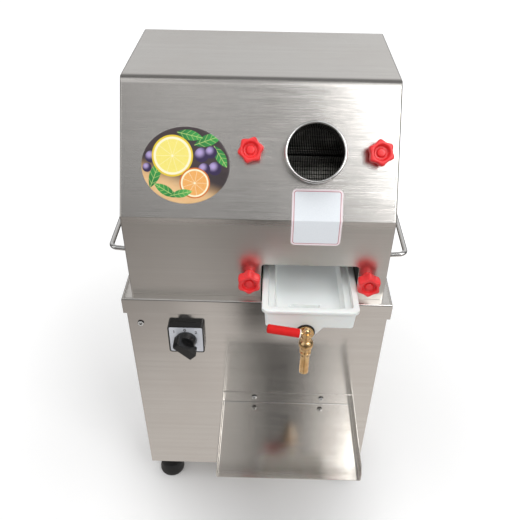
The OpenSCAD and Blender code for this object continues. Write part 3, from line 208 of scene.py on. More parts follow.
# Directions in radians: turn from straight ahead, with the right side positive, and lift above the horizon.
turn = aim_x.angle_from(0 - aim_y)
lift = sky.math("ARCSINE", aim_z)
aside = turn.size()
high = lift.step(0.72, 1.0)
lean = turn - 0.11 * high
beside = aside.band(0.65, 1.4, 0.12)
behind = (aside.step(1.6, 2.2) * lift.step(0.05, 0.2) * (1 - 0.8 * lift.step(0.75, 1.1))
          * (0.6 + 0.1 * aim_x.step(-0.1, 0.3)))
in_front = 1 - aside.step(0.5, 0.7)
ahead = in_front * (0.1 + 0.2 * lift.step(0.3, 0.75)) * (1 - 0.6 * turn.band(-0.06, 0.03, 0.03))
soft_box = lean.step(-0.01, 0.27) * in_front * lift.band(0.4, 1.3, 0.12) * (0.72 + 1.4 * high)
window = lean.band(-0.19, -0.09, 0.05) * lift.band(0.55, 1.1, 0.15) * (0.52 - 0.2 * high)
overhead = 0.3 * lift.band(0.84, 1.15, 0.06) * (1 - aside.step(1.0, 1.3))
viewer = turn.band(-0.03, 0.115, 0.04) * lift.band(0.76, 1.3, 0.06)
shown = (0.08 + 0.8 * beside + behind + ahead + soft_box + window + overhead) * (1 - 0.95 * viewer)
strength = 0.5 + seen * 0.5 + mirrored * (shown - 0.5)
glow = sky.node("ShaderNodeBackground", None, {"Color": (1, 1, 1, 1), "Strength": strength})
sky.node("ShaderNodeOutputWorld", None, {"Surface": glow}, None)


def soft_lamp(name, place, target, size, power, mirrors=True):
    """Rectangular lamp that faces a target; one that doesn't mirror lights without showing in steel."""
    lamp = bpy.data.lights.new(name, "AREA")
    lamp.shape = "RECTANGLE"
    lamp.size, lamp.size_y = size
    lamp.energy = power
    made = bpy.data.objects.new(name, lamp)
    made.visible_glossy = mirrors
    back = np.subtract(place, target)
    back = back / np.linalg.norm(back)
    right = np.cross([0, 0, 1], back)
    right = right / np.linalg.norm(right)
    pose = np.eye(4)
    pose[:3, :3] = np.stack([right, np.cross(back, right), back], axis=1)
    pose[:3, 3] = place
    made.matrix_world = Matrix(pose)
    scene.collection.objects.link(made)


soft_lamp("key_lamp", (1.3, -1.5, 2.4), (0.05, 0, 0.6), (1.2, 1.2), 24)
soft_lamp("top_lamp", (0.1, -0.2, 2.6), (0, 0.0, 0.5), (1.6, 1.2), 16, False)
soft_lamp("fill_lamp", (-1.7, -0.9, 1.8), (0, 0, 0.6), (0.9, 1.2), 7, False)

# Sheet steel of cabinet, deck, hood and shelf: stainless, brushed across the width before it is cut.
# The sheets are folded at their edges and screwed or welded together, with faint wiping marks.


def finish(name, recipe, **constants):
    """A surface finish: constants sit on the shader's own sockets, and the recipe returns what varies."""
    made = bpy.data.materials.new(name)
    made.use_nodes = True
    tree = made.node_tree
    shader = tree.nodes["Principled BSDF"]
    for key, value in constants.items():
        shader.inputs[key.replace("_", " ")].default_value = value
    place = Tone(tree).node("ShaderNodeTexCoord", out=3)
    for key, value in recipe(place).items():
        tree.links.new(value.socket, shader.inputs[key])
    return made


def relief(height, depth, strength=1.0, normal=None):
    """Bump of a height field, with its depth in metres."""
    inputs = {"Height": height, "Distance": depth, "Strength": strength}
    if normal is not None:
        inputs["Normal"] = normal
    return height.node("ShaderNodeBump", None, inputs)


def soft_edge(place, radius):
    """Normal that rounds every edge of a piece by a small radius."""
    return place.node("ShaderNodeBevel", {"samples": 6}, {"Radius": radius})


def dress(material, *names):
    """Gives CAD nodes their finish."""
    for name in names:
        nodes[name].data.materials.clear()
        nodes[name].data.materials.append(material)


def brushed(along, depth, blur):
    """Brushed sheet: fine scratches drawn out along one axis, broad streaks and cloudy wiping marks."""
    def drawn_out(ratio):
        return [ratio if axis == along else 1 for axis in range(3)]

    def recipe(place):
        fine = noise(place, 2200, drawn_out(0.004), 2.0, 0.6)
        streak = noise(place, 130, drawn_out(0.012), 3.0, 0.6)
        smear = noise(place, 6, (1, 1, 1), 3.0, 0.6)
        tint = (0.5 * fine + 0.5 * streak).step(0.3, 0.7)
        body = tint.mix(ink(213, 210, 206), ink(221, 218, 214))
        colour = (smear.step(0.35, 0.75) * 0.6).mix(body, ink(212, 207, 202))
        return {"Base Color": colour,
                "Roughness": blur + 0.02 * streak + 0.06 * smear,
                "Normal": relief(fine, depth, 1.0, soft_edge(place, 0.0008))}
    return recipe


def cover_recipe(place):
    """The hood's cover, duller on its upright front where hands and wiping have left a film."""
    look = brushed(0, 0.00008, 0.14)(place)
    front_top, film_fade, film_blur = 0.697, 0.02, 0.15
    look["Roughness"] = look["Roughness"] + film_blur * (front_top - place.split()[2]).step(0.0, film_fade)
    return look


sheet_steel = finish("brushed_across", brushed(0, 0.00003, 0.07), Metallic=1.0)
dress(sheet_steel, "cabinet_front", "cabinet_back", "cabinet_floor", "deck_cap", "hood_back", "splash_shelf",
      "motor_platform", "juice_pan", "cane_chute")
dress(finish("brushed_cover", cover_recipe, Metallic=1.0), "hood_cover")
dress(finish("brushed_along", brushed(1, 0.00007, 0.08), Metallic=1.0), "cabinet_side_left",
      "cabinet_side_right", "hood_side_left", "hood_side_right")

# Feet: four black rubber pads with a dry, dusty skin, moulded round a metal plate.
# Each screws into the cabinet's floor on a threaded steel stem, which levels the machine.


def rubber_recipe(place):
    dust = noise(place, 55, (1, 1, 1), 4.0, 0.6)
    return {"Base Color": dust.step(0.35, 0.8).mix(ink(20, 20, 21), ink(42, 42, 43)),
            "Roughness": 0.5 + 0.25 * dust, "Normal": relief(dust, 0.0002, 0.5, soft_edge(place, 0.0012))}


def bright_recipe(place):
    rub = noise(place, 90, (1, 1, 1), 3.0, 0.6)
    return {"Base Color": rub.mix(ink(214, 213, 211), ink(226, 225, 224)),
            "Roughness": 0.12 + 0.12 * rub,
            "Normal": relief(rub, 0.00004, 0.4, soft_edge(place, 0.0006))}


black_rubber = finish("black_rubber", rubber_recipe)
bright_steel = finish("bright_steel", bright_recipe, Metallic=1.0)
dress(black_rubber, "foot_pads")
dress(bright_steel, "foot_stems")

# Screws of the cabinet and shelf: pan heads of bright steel with a cross recess, driven from outside.
# One holds the front's corner, two hold the shelf's upstand, and six hold the back panel.


def sheet_of(name, points, wrap=False):
    """Mesh of a grid of points: each cell is a face, and wrap joins the last column to the first."""
    rows, columns = points.shape[:2]
    index = np.arange(rows * columns).reshape(rows, columns)
    if wrap:
        index = np.concatenate([index, index[:, :1]], axis=1)
    faces = np.stack([index[:-1, :-1], index[:-1, 1:], index[1:, 1:], index[1:, :-1]], axis=-1)
    mesh = bpy.data.meshes.new(name)
    mesh.from_pydata(points.reshape(-1, 3).tolist(), [], faces.reshape(-1, 4).tolist())
    return mesh


def seal(mesh, smooth=True):
    """Joins points that coincide, such as those of a pole, and turns all faces outwards."""
    edit = bmesh.new()
    edit.from_mesh(mesh)
    bmesh.ops.remove_doubles(edit, verts=edit.verts, dist=1e-6)
    bmesh.ops.recalc_face_normals(edit, faces=edit.faces)
    edit.to_mesh(mesh)
    edit.free()
    mesh.polygons.foreach_set("use_smooth", np.full(len(mesh.polygons), smooth))
    mesh.update()
    return mesh


def add_piece(mesh, material, body, slot, *stands_for):
    """Puts a finished mesh into the scene, on the body that carries it."""
    mesh.materials.append(material)
    piece = bpy.data.objects.new(mesh.name, mesh)
    scene.collection.objects.link(piece)
    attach(piece, body)
    if stands_for:
        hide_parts(*stands_for)
    return piece


def screw_head(radius, height):
    """Pan head about local Z: a dome carried round the axis, less a cross with sloping walls."""
    dome = np.linspace(0, 1, 40)
    along = np.concatenate([dome, np.full(6, 1.0), np.linspace(1, 0, 4)])
    rise = np.concatenate([1 - 0.45 * dome ** 4, np.linspace(0.5, 0, 6), np.zeros(4)])
    angle = np.linspace(0, 2 * np.pi, 96, endpoint=False)
    x = radius * along[:, None] * np.cos(angle)
    y = radius * along[:, None] * np.sin(angle)
    z = height * np.repeat(rise[:, None], len(angle), axis=1)
    top = (np.arange(len(along)) < len(dome))[:, None]
    near, far = np.minimum(np.abs(x), np.abs(y)), np.maximum(np.abs(x), np.abs(y))
    across_arm = np.clip((0.17 * radius - near) / (0.05 * radius), 0, 1)
    along_arm = np.clip((0.62 * radius - far) / (0.1 * radius), 0, 1)
    return np.stack([x, y, z - np.where(top, across_arm * along_arm * 0.55 * height, 0)], axis=-1)


# Each screw's place, the radius and height of its head, and the side of Y that it faces.
panel_head, shelf_head = (0.0055, 0.00352), (0.00475, 0.00304)
screw_places = [(-0.199, -0.095, 0.482, *panel_head, -1)]
screw_places += [(x, -0.0965, 0.2944, *shelf_head, -1) for x in (-0.0025, 0.1245)]
screw_places += [(x, 0.253, z, *panel_head, 1) for x in (-0.196, 0.196) for z in (0.101, 0.3055, 0.478)]
screw_meshes = []
for k, (x, y, z, radius, height, side) in enumerate(screw_places):
    head = screw_head(radius, height)
    twist = 0.6 + 1.9 * k
    flat_x = head[..., 0] * np.cos(twist) - head[..., 1] * np.sin(twist)
    flat_z = head[..., 0] * np.sin(twist) + head[..., 1] * np.cos(twist)
    screw_meshes.append(np.stack([x + flat_x, y + side * head[..., 2], z + flat_z], axis=-1))
screws = bpy.data.meshes.new("cross_head_screws")
screw_edit = bmesh.new()
for points in screw_meshes:
    one = sheet_of("one_screw", points, True)
    screw_edit.from_mesh(one)
    bpy.data.meshes.remove(one)
screw_edit.to_mesh(screws)
screw_edit.free()
seal(screws)
spots = np.zeros(len(screws.vertices) * 3)
screws.vertices.foreach_get("co", spots)
spots = spots.reshape(-1, 3)
place_x, place_y, place_z, place_r, place_h, place_side = np.array(screw_places).T
other_side = np.abs(spots[:, 1:2] - place_y) > 0.02
gap_to = np.hypot(spots[:, :1] - place_x, spots[:, 2:] - place_z) + 9 * other_side
owner = gap_to.argmin(axis=1)
outward = gap_to.min(axis=1) / place_r[owner]
lifted = (spots[:, 1] - place_y[owner]) * place_side[owner] / place_h[owner]
# UV of each head: its share of the radius and its depth under the dome, which place its painted shade.
screw_uv = np.stack([outward, lifted - (1 - 0.45 * outward ** 4)], axis=-1)
screw_corner = np.zeros(len(screws.loops), dtype=np.int32)
screws.loops.foreach_get("vertex_index", screw_corner)
screws.uv_layers.new(name="head").data.foreach_set("uv", screw_uv[screw_corner].astype(np.float32).ravel())


def head_recipe(place):
    u, v = place.node("ShaderNodeTexCoord", out=2).split()[:2]
    rub = noise(place, 400, (1, 1, 1), 2.0, 0.5)
    # Painted shade: the cross recess, the skirt below the dome and the outer rim of each head are painted
    # near black.
    painted_shade = ((0 - v).step(0.05, 0.3)).most(u.step(0.86, 1.0))
    return {"Base Color": painted_shade.mix(rub.mix(ink(214, 213, 211), ink(228, 227, 226)), ink(40, 39, 38)),
            "Roughness": 0.14 + 0.12 * rub, "Normal": relief(rub, 0.00003, 0.4)}


add_piece(screws, finish("screw_steel", head_recipe, Metallic=0.55), "cabinet", "bright_steel",
          "cabinet_screws")

# Feed tube, handles, studs and tie bars: drawn stainless, bent or turned and then polished.
# The tube and the handles are welded to the hood, and the studs are screwed into the press plates.
dress(bright_steel, "handle_left", "handle_right", "cover_studs", "tie_bars", "idler_pin", "motor_shaft",
      "tap_ball", "feed_tube")
tube_axis = np.array([0, -0.788010754, 0.615661475])
tube_rise = np.array([0, 0.615661475, 0.788010754])
tube_out = 0.0252
tube_mouth = np.array([0.083, -0.03108, 0.77803]) + tube_out * tube_axis


def ring_bead(middle, bead):
    """Ring about local Z: a circle of the bead's radius carried round at the middle radius."""
    round_bead = np.linspace(0, 2 * np.pi, 24, endpoint=False)
    angle = np.linspace(0, 2 * np.pi, 129)[:, None]
    far = middle + bead * np.cos(round_bead)
    tall = np.broadcast_to(bead * np.sin(round_bead), (len(angle), len(round_bead)))
    return np.stack([far * np.cos(angle), far * np.sin(angle), tall], axis=-1)


lip = ring_bead(0.0436, 0.0023)
lip_points = (tube_mouth + lip[..., :1] * np.array([1, 0, 0]) + lip[..., 1:2] * tube_rise
              + lip[..., 2:] * tube_axis)
add_piece(seal(sheet_of("tube_lip", lip_points, True)), bright_steel, "cabinet", "bright_steel")

# Oval picture on the hood's slope: printed vinyl with a clear skin, stuck on the steel.
# Its print is a plain fruit pattern: two cut citrus fruits, berries and leaves on a dark board.
slope_angle = np.radians(33)
slope_up = np.array([0, np.sin(slope_angle), np.cos(slope_angle)])
slope_out = np.array([0, -np.cos(slope_angle), np.sin(slope_angle)])
crease = np.array([0, -0.085, 0.695])
picture_at, picture_half, picture_t = (-0.110, 0.079), (0.0665, 0.057), 0.0004


def oval_label():
    """Oval of two half axes on the slope: rings from the middle over the rim and back underneath."""
    along = np.concatenate([np.linspace(0, 1, 30), [1.003, 1.003], np.linspace(1, 0, 6)])
    rise = np.concatenate([np.full(29, 1.0), [0.9, 0.5, -0.3], np.full(6, -0.3)]) * picture_t
    angle = np.linspace(0, 2 * np.pi, 128, endpoint=False)
    across = picture_at[0] + picture_half[0] * along[:, None] * np.cos(angle)
    up = picture_at[1] + picture_half[1] * along[:, None] * np.sin(angle)
    return (crease + across[..., None] * np.array([1, 0, 0]) + up[..., None] * slope_up
            + rise[:, None, None] * slope_out)


def picture_recipe(place):
    x, y, z = place.split()
    u = (x - picture_at[0]) * 1000
    rise_y, rise_z = (y - float(crease[1])) * float(slope_up[1]), (z - float(crease[2])) * float(slope_up[2])
    v = (rise_y + rise_z - picture_at[1]) * 1000

    def far_from(at):
        return ((u - at[0]) * (u - at[0]) + (v - at[1]) * (v - at[1])).root()

    def citrus(under, at, radius, peel, flesh, light, cells):
        away = far_from(at)
        angle = (v - at[1]).angle_from(u - at[0])
        wall = (angle * (cells / 2)).sine().size() * away
        pulp = grain.mix(flesh, light)
        cut = (wall.step(0.5, 1.3) * away.band(1.5, 0.8 * radius, 0.6)).mix(ink(247, 240, 205), pulp)
        fruit = away.step(0.89 * radius, 0.93 * radius).mix(cut, peel)
        return (1 - away.step(radius - 0.4, radius + 0.4)).mix(under, fruit)

    def leaf(under, at, degrees, length, width, dark, light):
        c, s = float(np.cos(np.radians(degrees))), float(np.sin(np.radians(degrees)))
        along = ((u - at[0]) * c + (v - at[1]) * s) / (length / 2)
        across = ((v - at[1]) * c - (u - at[0]) * s).size()
        edge = across - (width / 2) * (1 - along * along)
        vein = (1 - across.step(0.2, 0.7)).most(0.6 * (along * 16 - across * 0.7).sine().step(0.75, 1.0))
        blade = vein.mix((along * 0.5 + 0.5).mix(dark, light), ink(176, 206, 120))
        return (1 - edge.step(-0.4, 0.4)).mix(under, blade)

    def berry(under, at, radius, dark, light):
        away = far_from(at)
        shine = 1 - far_from((at[0] - 0.3 * radius, at[1] + 0.35 * radius)).step(0.1 * radius, 0.95 * radius)
        return (1 - away.step(radius - 0.5, radius + 0.3)).mix(under, shine.mix(dark, light))

    grain = noise(place, 900, (1, 1, 1), 2.0, 0.6)
    board = noise(place, 60, (0.4, 1, 1), 4.0, 0.6)
    low = (v + 0.35 * u).step(-42, -8)
    pale_board = board.mix(ink(214, 160, 96), ink(240, 206, 160))
    colour = low.mix(pale_board, board.mix(ink(34, 30, 36), ink(74, 60, 62)))
    for at, degrees, length, width in (((34, 38), 20, 46, 17), ((6, 45), -12, 40, 15),
                                       ((52, 14), -58, 38, 15), ((-46, -14), 70, 44, 16),
                                       ((-30, -38), 150, 40, 14)):
        colour = leaf(colour, at, degrees, length, width, ink(18, 104, 52), ink(62, 166, 74))
    for at, radius in (((24, 16), 11), ((44, -4), 10), ((38, 20), 9), ((28, -5), 9), ((-52, 12), 9),
                       ((-58, -4), 7)):
        colour = berry(colour, at, radius, ink(48, 34, 74), ink(176, 158, 208))
    colour = citrus(colour, (-20, 14), 31, ink(226, 198, 52), ink(232, 212, 70), ink(246, 236, 150), 10)
    colour = citrus(colour, (14, -26), 23, ink(208, 112, 34), ink(224, 140, 54), ink(246, 196, 122), 9)
    colour = leaf(colour, (-6, -42), 12, 34, 12, ink(26, 120, 58), ink(86, 180, 84))
    return {"Base Color": colour, "Roughness": 0.3 + 0.12 * grain, "Normal": relief(grain, 0.00002, 0.4)}


add_piece(seal(sheet_of("oval_picture", oval_label(), True)),
          finish("printed_vinyl", picture_recipe, Coat_Weight=0.3, Coat_Roughness=0.12), "cabinet",
          "face_plate")

# Blank sign under the feed tube: white vinyl with a thin dark red keyline and round corners.
# It is stuck on over the crease and bends with the hood's sheet.
sign_x, sign_half, sign_top, sign_low = 0.0895, 0.0385, 0.048, 0.045
sign_t, sign_round, sign_tile = 0.00035, 0.007, 0.1
sign_l = sign_top + sign_low


def bent_sign():
    """Strip down the slope, round the crease and down the front; circles round its corners."""
    bend_r = 0.003
    reach = bend_r * np.tan(slope_angle / 2)
    corner = sign_round * (1 - np.cos(np.linspace(0, np.pi / 2, 14)))
    run = np.unique(np.concatenate([np.linspace(0, sign_l, 60), sign_top + np.linspace(-reach, reach, 13),
                                    corner, sign_l - corner]))
    near = np.minimum(run, sign_l - run)
    dip = np.clip(sign_round - near, 0, sign_round)
    half = sign_half - (sign_round - np.sqrt(np.maximum(sign_round ** 2 - dip ** 2, 0)))
    part = np.clip((run - (sign_top - reach)) / (2 * reach), 0, 1)
    lean = slope_angle * (1 - part)
    straight_up = np.maximum(sign_top - run, reach)
    on_slope_y, on_slope_z = straight_up * np.sin(slope_angle), straight_up * np.cos(slope_angle)
    arc_y = bend_r * (np.cos(lean) - np.cos(slope_angle))
    arc_z = bend_r * (np.sin(slope_angle) - np.sin(lean))
    start_y, start_z = reach * np.sin(slope_angle), reach * np.cos(slope_angle)
    down = np.maximum(run - sign_top - reach, 0)
    y = np.where(part > 0, start_y - arc_y, on_slope_y)
    z = np.where(part > 0, start_z - arc_z, on_slope_z) - down
    out = np.stack([0 * lean, -np.cos(lean), np.sin(lean)], axis=-1)
    middle = crease + np.stack([0 * y, y, z], axis=-1) + sign_t * out
    across = np.linspace(-1, 1, 41)
    x = sign_x + half[:, None] * across
    points = np.repeat(middle[:, None, :], len(across), axis=1)
    points[..., 0] = x
    return points, run, across, half


def sign_recipe(place):
    u, v = place.node("ShaderNodeTexCoord", out=2).split()[:2]
    side = ((u - 0.5) * (1000 * sign_tile)).size() - 1000 * (sign_half - sign_round)
    end = ((v - 0.5) * (1000 * sign_tile)).size() - 1000 * (sign_l / 2 - sign_round)
    rim = (side.most(0) * side.most(0) + end.most(0) * end.most(0)).root() + side.most(end).least(0)
    line = rim.band(1000 * sign_round - 3.9, 1000 * sign_round - 2.9, 0.25)
    inner = 1 - rim.step(1000 * sign_round - 3.9, 1000 * sign_round - 3.3)
    grain = noise(place, 500, (1, 1, 1), 2.0, 0.5)
    sheet = inner.mix(ink(246, 232, 236), grain.mix(ink(226, 232, 238), ink(238, 242, 246)))
    return {"Base Color": (line * (0.8 + 0.2 * grain)).mix(sheet, ink(176, 62, 84)),
            "Roughness": 0.26 + 0.12 * grain}


sign_points, sign_run, sign_across, sign_width = bent_sign()
sign_mesh = sheet_of("blank_sign", sign_points)
sign_u = 0.5 + (sign_width[:, None] * sign_across) / sign_tile
sign_v = 0.5 + (sign_l / 2 - sign_run) / sign_tile
sign_uv = np.stack(np.broadcast_arrays(sign_u, sign_v[:, None]), axis=-1).reshape(-1, 2)
sign_corner = np.zeros(len(sign_mesh.loops), dtype=np.int32)
sign_mesh.loops.foreach_get("vertex_index", sign_corner)
sign_mesh.uv_layers.new(name="print").data.foreach_set("uv", sign_uv[sign_corner].astype(np.float32).ravel())
sign_mesh.polygons.foreach_set("use_smooth", np.full(len(sign_mesh.polygons), True))
sign_piece = add_piece(sign_mesh, finish("sign_vinyl", sign_recipe, Coat_Weight=0.25, Coat_Roughness=0.1),
                       "cabinet", "face_plate")
sign_wall = sign_piece.modifiers.new("thickness", "SOLIDIFY")
sign_wall.thickness = sign_t + 0.0001
sign_wall.offset = -1

# Press plates and gears: thick machined steel, milled and hobbed, bolted or keyed together.
# They carry a film of oil and old juice stains.


def milled_recipe(place):
    cut = noise(place, 140, (1, 1, 6), 3.0, 0.6)
    stain = noise(place, 14, (1, 1, 1), 4.0, 0.6)
    return {"Base Color": stain.step(0.3, 0.7).mix(ink(96, 97, 98), ink(140, 140, 139)),
            "Roughness": 0.32 + 0.2 * cut,
            "Normal": relief(cut, 0.0001, 0.4, soft_edge(place, 0.0008))}


milled_steel = finish("milled_steel", milled_recipe, Metallic=1.0)
dress(milled_steel, "press_plate_left", "press_plate_right", "gear_front_upper", "gear_front_lower",
      "gear_rear_upper", "gear_rear_lower", "idler_gear", "drive_gear", "pinion_shaft")

# Press rollers: forged steel bars, fluted along and grooved round, so that the cane meets a grid of studs.
# They are turned with their journals in one piece and run in the bushes, stained dark with use, with painted
# shade in their grooves.


def roller_recipe(place):
    x, groove_pitch = place.split()[0], 0.0027
    groove = (x * (2 * np.pi / groove_pitch)).sine().step(-0.2, 0.75)
    stain = noise(place, 30, (1, 1, 1), 4.0, 0.6)
    worn = stain.step(0.3, 0.75).mix(ink(104, 104, 100), ink(158, 156, 150))
    # Painted shade: the grooves are painted near black; the lands between them carry the real stain.
    return {"Base Color": groove.mix(ink(34, 34, 32), worn), "Roughness": 0.34 + 0.2 * stain,
            "Normal": relief(groove, 0.0006, 1.0, soft_edge(place, 0.0004))}


dress(finish("grooved_steel", roller_recipe, Metallic=1.0), "roller_front_upper", "roller_front_lower",
      "roller_rear_upper", "roller_rear_lower")

# Bronze bushes: cast bronze, bored and turned, pressed into the plates.
# Each has a flange that keeps the roller or gear off the plate.


def bronze_recipe(place):
    ring = noise(place, 120, (6, 1, 1), 3.0, 0.6)
    return {"Base Color": ring.mix(ink(150, 104, 58), ink(186, 136, 80)), "Roughness": 0.3 + 0.2 * ring}


dress(finish("turned_bronze", bronze_recipe, Metallic=1.0), "bronze_bushes")

# Drive: cast iron pulleys and bearing blocks, a folded stand, and a motor with its gearbox.
# They are sprayed with satin enamel that pools a little unevenly, and a rubber V belt joins them.


def enamel_recipe(low, high):
    def recipe(place):
        peel = noise(place, 260, (1, 1, 1), 2.0, 0.5)
        cloud = noise(place, 11, (1, 1, 1), 3.0, 0.5)
        return {"Base Color": cloud.mix(low, high), "Roughness": 0.38 + 0.15 * peel,
                "Normal": relief(peel, 0.0001, 0.5, soft_edge(place, 0.001))}
    return recipe


dress(finish("iron_paint", enamel_recipe(ink(62, 66, 70), ink(78, 82, 86))), "large_pulley", "motor_pulley",
      "bearing_blocks", "countershaft_stand")
dress(finish("motor_paint", enamel_recipe(ink(44, 92, 122), ink(56, 106, 136))), "gearbox", "motor_body")
dress(black_rubber, "drive_belt")

# Star knobs and lever sleeve: glossy moulded plastic, bright red.
# The knobs screw on to the studs and hold the hood's cover, and the sleeve is pushed on to the lever.


def red_recipe(place):
    swirl = noise(place, 45, (1, 1, 1), 3.0, 0.5)
    skin = noise(place, 700, (1, 1, 1), 1.0, 0.5)
    return {"Base Color": swirl.step(0.3, 0.8).mix(ink(224, 42, 46), ink(242, 58, 60)),
            "Roughness": 0.26 + 0.16 * skin, "Normal": relief(skin, 0.00006, 0.5, soft_edge(place, 0.0012))}


def star_knob(radius, neck, height, tips, degrees):
    """Knob about local Z: a turned outline carried round, whose radius dips between the tips by a wave.

    The outline's columns are the share of the radius, the height and the share of the wave.
    """
    head = height - neck
    outline = np.array([
        [0.2, 0.3e-3, 0], [0.47, 0.3e-3, 0], [0.475, 0.8e-3, 0], [0.475, neck - 1.5e-3, 0],
        [0.55, neck - 0.4e-3, 0], [0.78, neck, 0.5], [0.9, neck + 0.6e-3, 0.9], [0.96, neck + 2e-3, 1],
        [0.985, neck + 4e-3, 1], [1.0, neck + 0.5 * head, 1], [0.99, height - 4.5e-3, 1],
        [0.965, height - 2.2e-3, 1], [0.91, height - 0.7e-3, 0.95], [0.84, height - 0.1e-3, 0.8],
        [0.72, height, 0.3], [0.64, height - 0.1e-3, 0], [0.6, height - 0.7e-3, 0],
        [0.57, height - 2.4e-3, 0], [0.54, height - 5e-3, 0], [0.5, height - 6e-3, 0],
        [0.36, height - 6.2e-3, 0], [0.325, height - 5.6e-3, 0], [0.31, height - 3.6e-3, 0],
        [0.27, height - 2.8e-3, 0], [0.14, height - 2.5e-3, 0], [0, height - 2.5e-3, 0]])
    run = np.linspace(0, len(outline) - 1, 3 * len(outline) - 2)
    out, rise, wave = (np.interp(run, np.arange(len(outline)), column) for column in outline.T)
    angle = np.linspace(0, 2 * np.pi, 180, endpoint=False)
    dip = ((1 - np.cos(tips * (angle - np.radians(degrees)))) / 2) ** 0.75
    far = radius * out[:, None] * (1 - 0.17 * wave[:, None] * dip)
    tall = np.repeat(rise[:, None], len(angle), axis=1)
    return np.stack([far * np.cos(angle), far * np.sin(angle), tall], axis=-1)


knob_r, knob_neck, knob_h, knob_tips = 0.0199, 0.0115, 0.0295, 6
red_plastic = finish("red_plastic", red_recipe, Subsurface_Weight=0.05, Coat_Weight=0.2, Coat_Roughness=0.15)
for side, knob_x in (("left", -0.012), ("right", 0.178)):
    for level, base, up, out, degrees in (
            ("upper", (-0.029447, 0.780544), slope_up, slope_out, 12 if side == "left" else 37),
            ("lower", (-0.085, 0.588836), np.array([0, 0, 1]), np.array([0, -1, 0]), 30)):
        local = star_knob(knob_r, knob_neck, knob_h, knob_tips, degrees)
        placed = (np.array([knob_x, *base]) + local[..., :1] * np.array([1, 0, 0]) + local[..., 1:2] * up
                  + local[..., 2:] * out)
        add_piece(seal(sheet_of("star_knob_%s_%s" % (level, side), placed, True)), red_plastic,
                  "%s_%s_knob" % (level, side), "red_plastic", "knob_%s_%s" % (level, side))
dress(red_plastic, "knob_upper_left", "knob_upper_right", "knob_lower_left", "knob_lower_right")


def sleeve_recipe(place):
    rub = noise(place, 160, (1, 1, 1), 3.0, 0.5)
    return {"Base Color": rub.mix(ink(200, 26, 26), ink(216, 38, 36)), "Roughness": 0.5 + 0.16 * rub,
            "Normal": relief(rub, 0.00005, 0.5, soft_edge(place, 0.0012))}


dress(finish("sleeve_vinyl", sleeve_recipe, Specular_IOR_Level=0.15), "tap_sleeve")

# Juice tray: white polypropylene, moulded in one piece with a thick rim, satin and faintly cloudy.
# It slides out under the press on the deck.


def tray_recipe(place):
    cloud = noise(place, 18, (1, 1, 1), 3.0, 0.5)
    skin = noise(place, 420, (1, 1, 1), 2.0, 0.5)
    _, y, z = place.split()
    rim_top, front_wall = 0.5773, (-0.153, -0.1515)
    # Painted light: the inside, deeper than the rim and behind the front wall, glows faintly, which lifts the
    # shade inside the tray.
    painted_glow_inside = (rim_top - z).step(0.005, 0.03) * y.step(*front_wall)
    return {"Base Color": cloud.mix(ink(228, 230, 228), ink(240, 241, 239)),
            "Roughness": 0.36 + 0.14 * skin, "Normal": relief(skin, 0.00008, 0.4, soft_edge(place, 0.0016)),
            "Emission Color": painted_glow_inside.mix((0, 0, 0, 1), (0.11, 0.115, 0.115, 1))}


dress(finish("white_moulding", tray_recipe, Subsurface_Weight=0.08, Emission_Strength=1.0), "juice_tray")

# Tap: turned and cast brass, polished, with a little tarnish in its hollows.
# A black ring seals it against the tray, and a pale washer keeps the sleeve off the hub.


def brass_recipe(place):
    tarnish = noise(place, 70, (1, 1, 1), 4.0, 0.6)
    turned = noise(place, 300, (1, 1, 5), 2.0, 0.5)
    return {"Base Color": tarnish.step(0.3, 0.75).mix(ink(222, 180, 124), ink(246, 214, 164)),
            "Roughness": 0.18 + 0.16 * tarnish,
            "Normal": relief(turned, 0.00006, 0.4, soft_edge(place, 0.0007))}


def washer(inner, outer, thick, edge):
    """Ring about local Z: a rounded rectangle between two radii, carried round the axis."""
    corner = np.linspace(0, 2 * np.pi, 24, endpoint=False) + np.pi / 4
    middle, half = (inner + outer) / 2, (outer - inner) / 2 - edge
    wide = middle + np.sign(np.cos(corner)) * half + edge * np.cos(corner)
    tall = np.sign(np.sin(corner)) * (thick / 2 - edge) + edge * np.sin(corner)
    angle = np.linspace(0, 2 * np.pi, 64)
    return np.stack([wide[None, :] * np.cos(angle)[:, None], wide[None, :] * np.sin(angle)[:, None],
                     np.repeat(tall[None, :], len(angle), axis=0)], axis=-1)


dress(finish("polished_brass", brass_recipe, Metallic=1.0), "tap_body", "tap_lock_nut", "tap_lever")
dress(black_rubber, "tap_gasket")
lever_tilt = np.radians(10)
lever_way = np.array([-np.cos(lever_tilt), 0, np.sin(lever_tilt)])
lever_side = np.array([np.sin(lever_tilt), 0, np.cos(lever_tilt)])
lever_hub, washer_out = np.array([0.079, -0.181, 0.5501]), 0.0107
ring = washer(0.0036, 0.0068, 0.0022, 0.0006)
ring_points = (lever_hub + (washer_out + ring[..., 2:]) * lever_way
               + ring[..., :1] * lever_side + ring[..., 1:2] * np.array([0, 1, 0]))


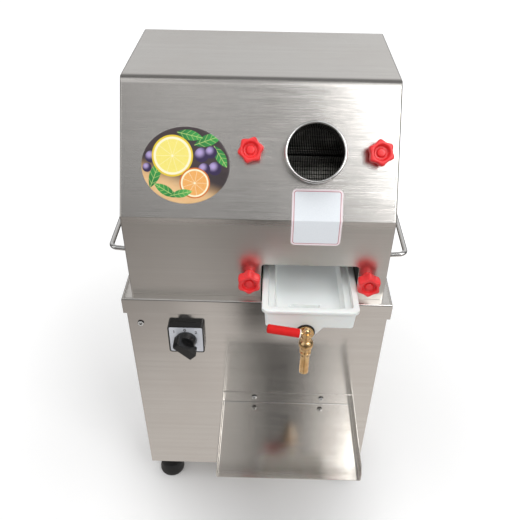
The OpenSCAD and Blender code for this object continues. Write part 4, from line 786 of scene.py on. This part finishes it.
def nylon_recipe(place):
    cloud = noise(place, 200, (1, 1, 1), 3.0, 0.5)
    return {"Base Color": cloud.mix(ink(226, 220, 208), ink(240, 236, 228)), "Roughness": 0.35 + 0.15 * cloud}


add_piece(seal(sheet_of("sleeve_washer", ring_points, True)), finish("pale_nylon", nylon_recipe),
          "tap_handle", "white_plastic")

# Switch: black moulded frame and knob, snapped together, with a satin metal face plate.
# The plate is printed with the numbers of its three places.


def black_recipe(place):
    skin = noise(place, 600, (1, 1, 1), 2.0, 0.5)
    rub = noise(place, 40, (1, 1, 1), 3.0, 0.5)
    return {"Base Color": rub.mix(ink(14, 14, 15), ink(26, 26, 27)), "Roughness": 0.16 + 0.16 * skin,
            "Normal": relief(skin, 0.00006, 0.5, soft_edge(place, 0.001))}


def face_recipe(place):
    grain = noise(place, 80, (0.3, 8, 8), 3.0, 0.6)
    return {"Base Color": grain.mix(ink(222, 225, 233), ink(232, 235, 242)), "Roughness": 0.34 + 0.12 * grain}


black_plastic = finish("black_plastic", black_recipe)
dress(black_plastic, "switch_body", "switch_frame", "switch_knob")
dress(finish("switch_face", face_recipe, Metallic=0.3), "switch_plate")
plate_face = -0.10606
for mark, x, z in (("1", -0.1412, 0.4732), ("0", -0.1225, 0.4772), ("2", -0.1035, 0.4725)):
    letter = bpy.data.curves.new("dial_mark", "FONT")
    letter.body = mark
    letter.size = 0.0085
    letter.align_x, letter.align_y = "CENTER", "CENTER"
    letter.extrude = 0.00004
    letter.offset = 0.0002
    drawn = bpy.data.objects.new("dial_mark", letter)
    scene.collection.objects.link(drawn)
    bpy.context.view_layer.update()
    shape = bpy.data.meshes.new_from_object(drawn)
    bpy.data.objects.remove(drawn)
    spot = np.zeros(len(shape.vertices) * 3)
    shape.vertices.foreach_get("co", spot)
    spot = spot.reshape(-1, 3)
    laid = np.stack([x + spot[:, 0], plate_face - spot[:, 2], z + spot[:, 1]], axis=-1)
    shape.vertices.foreach_set("co", laid.ravel())
    shape.name = "dial_mark_" + mark
    shape.materials.clear()
    add_piece(seal(shape, False), black_plastic, "cabinet", "black_plastic")
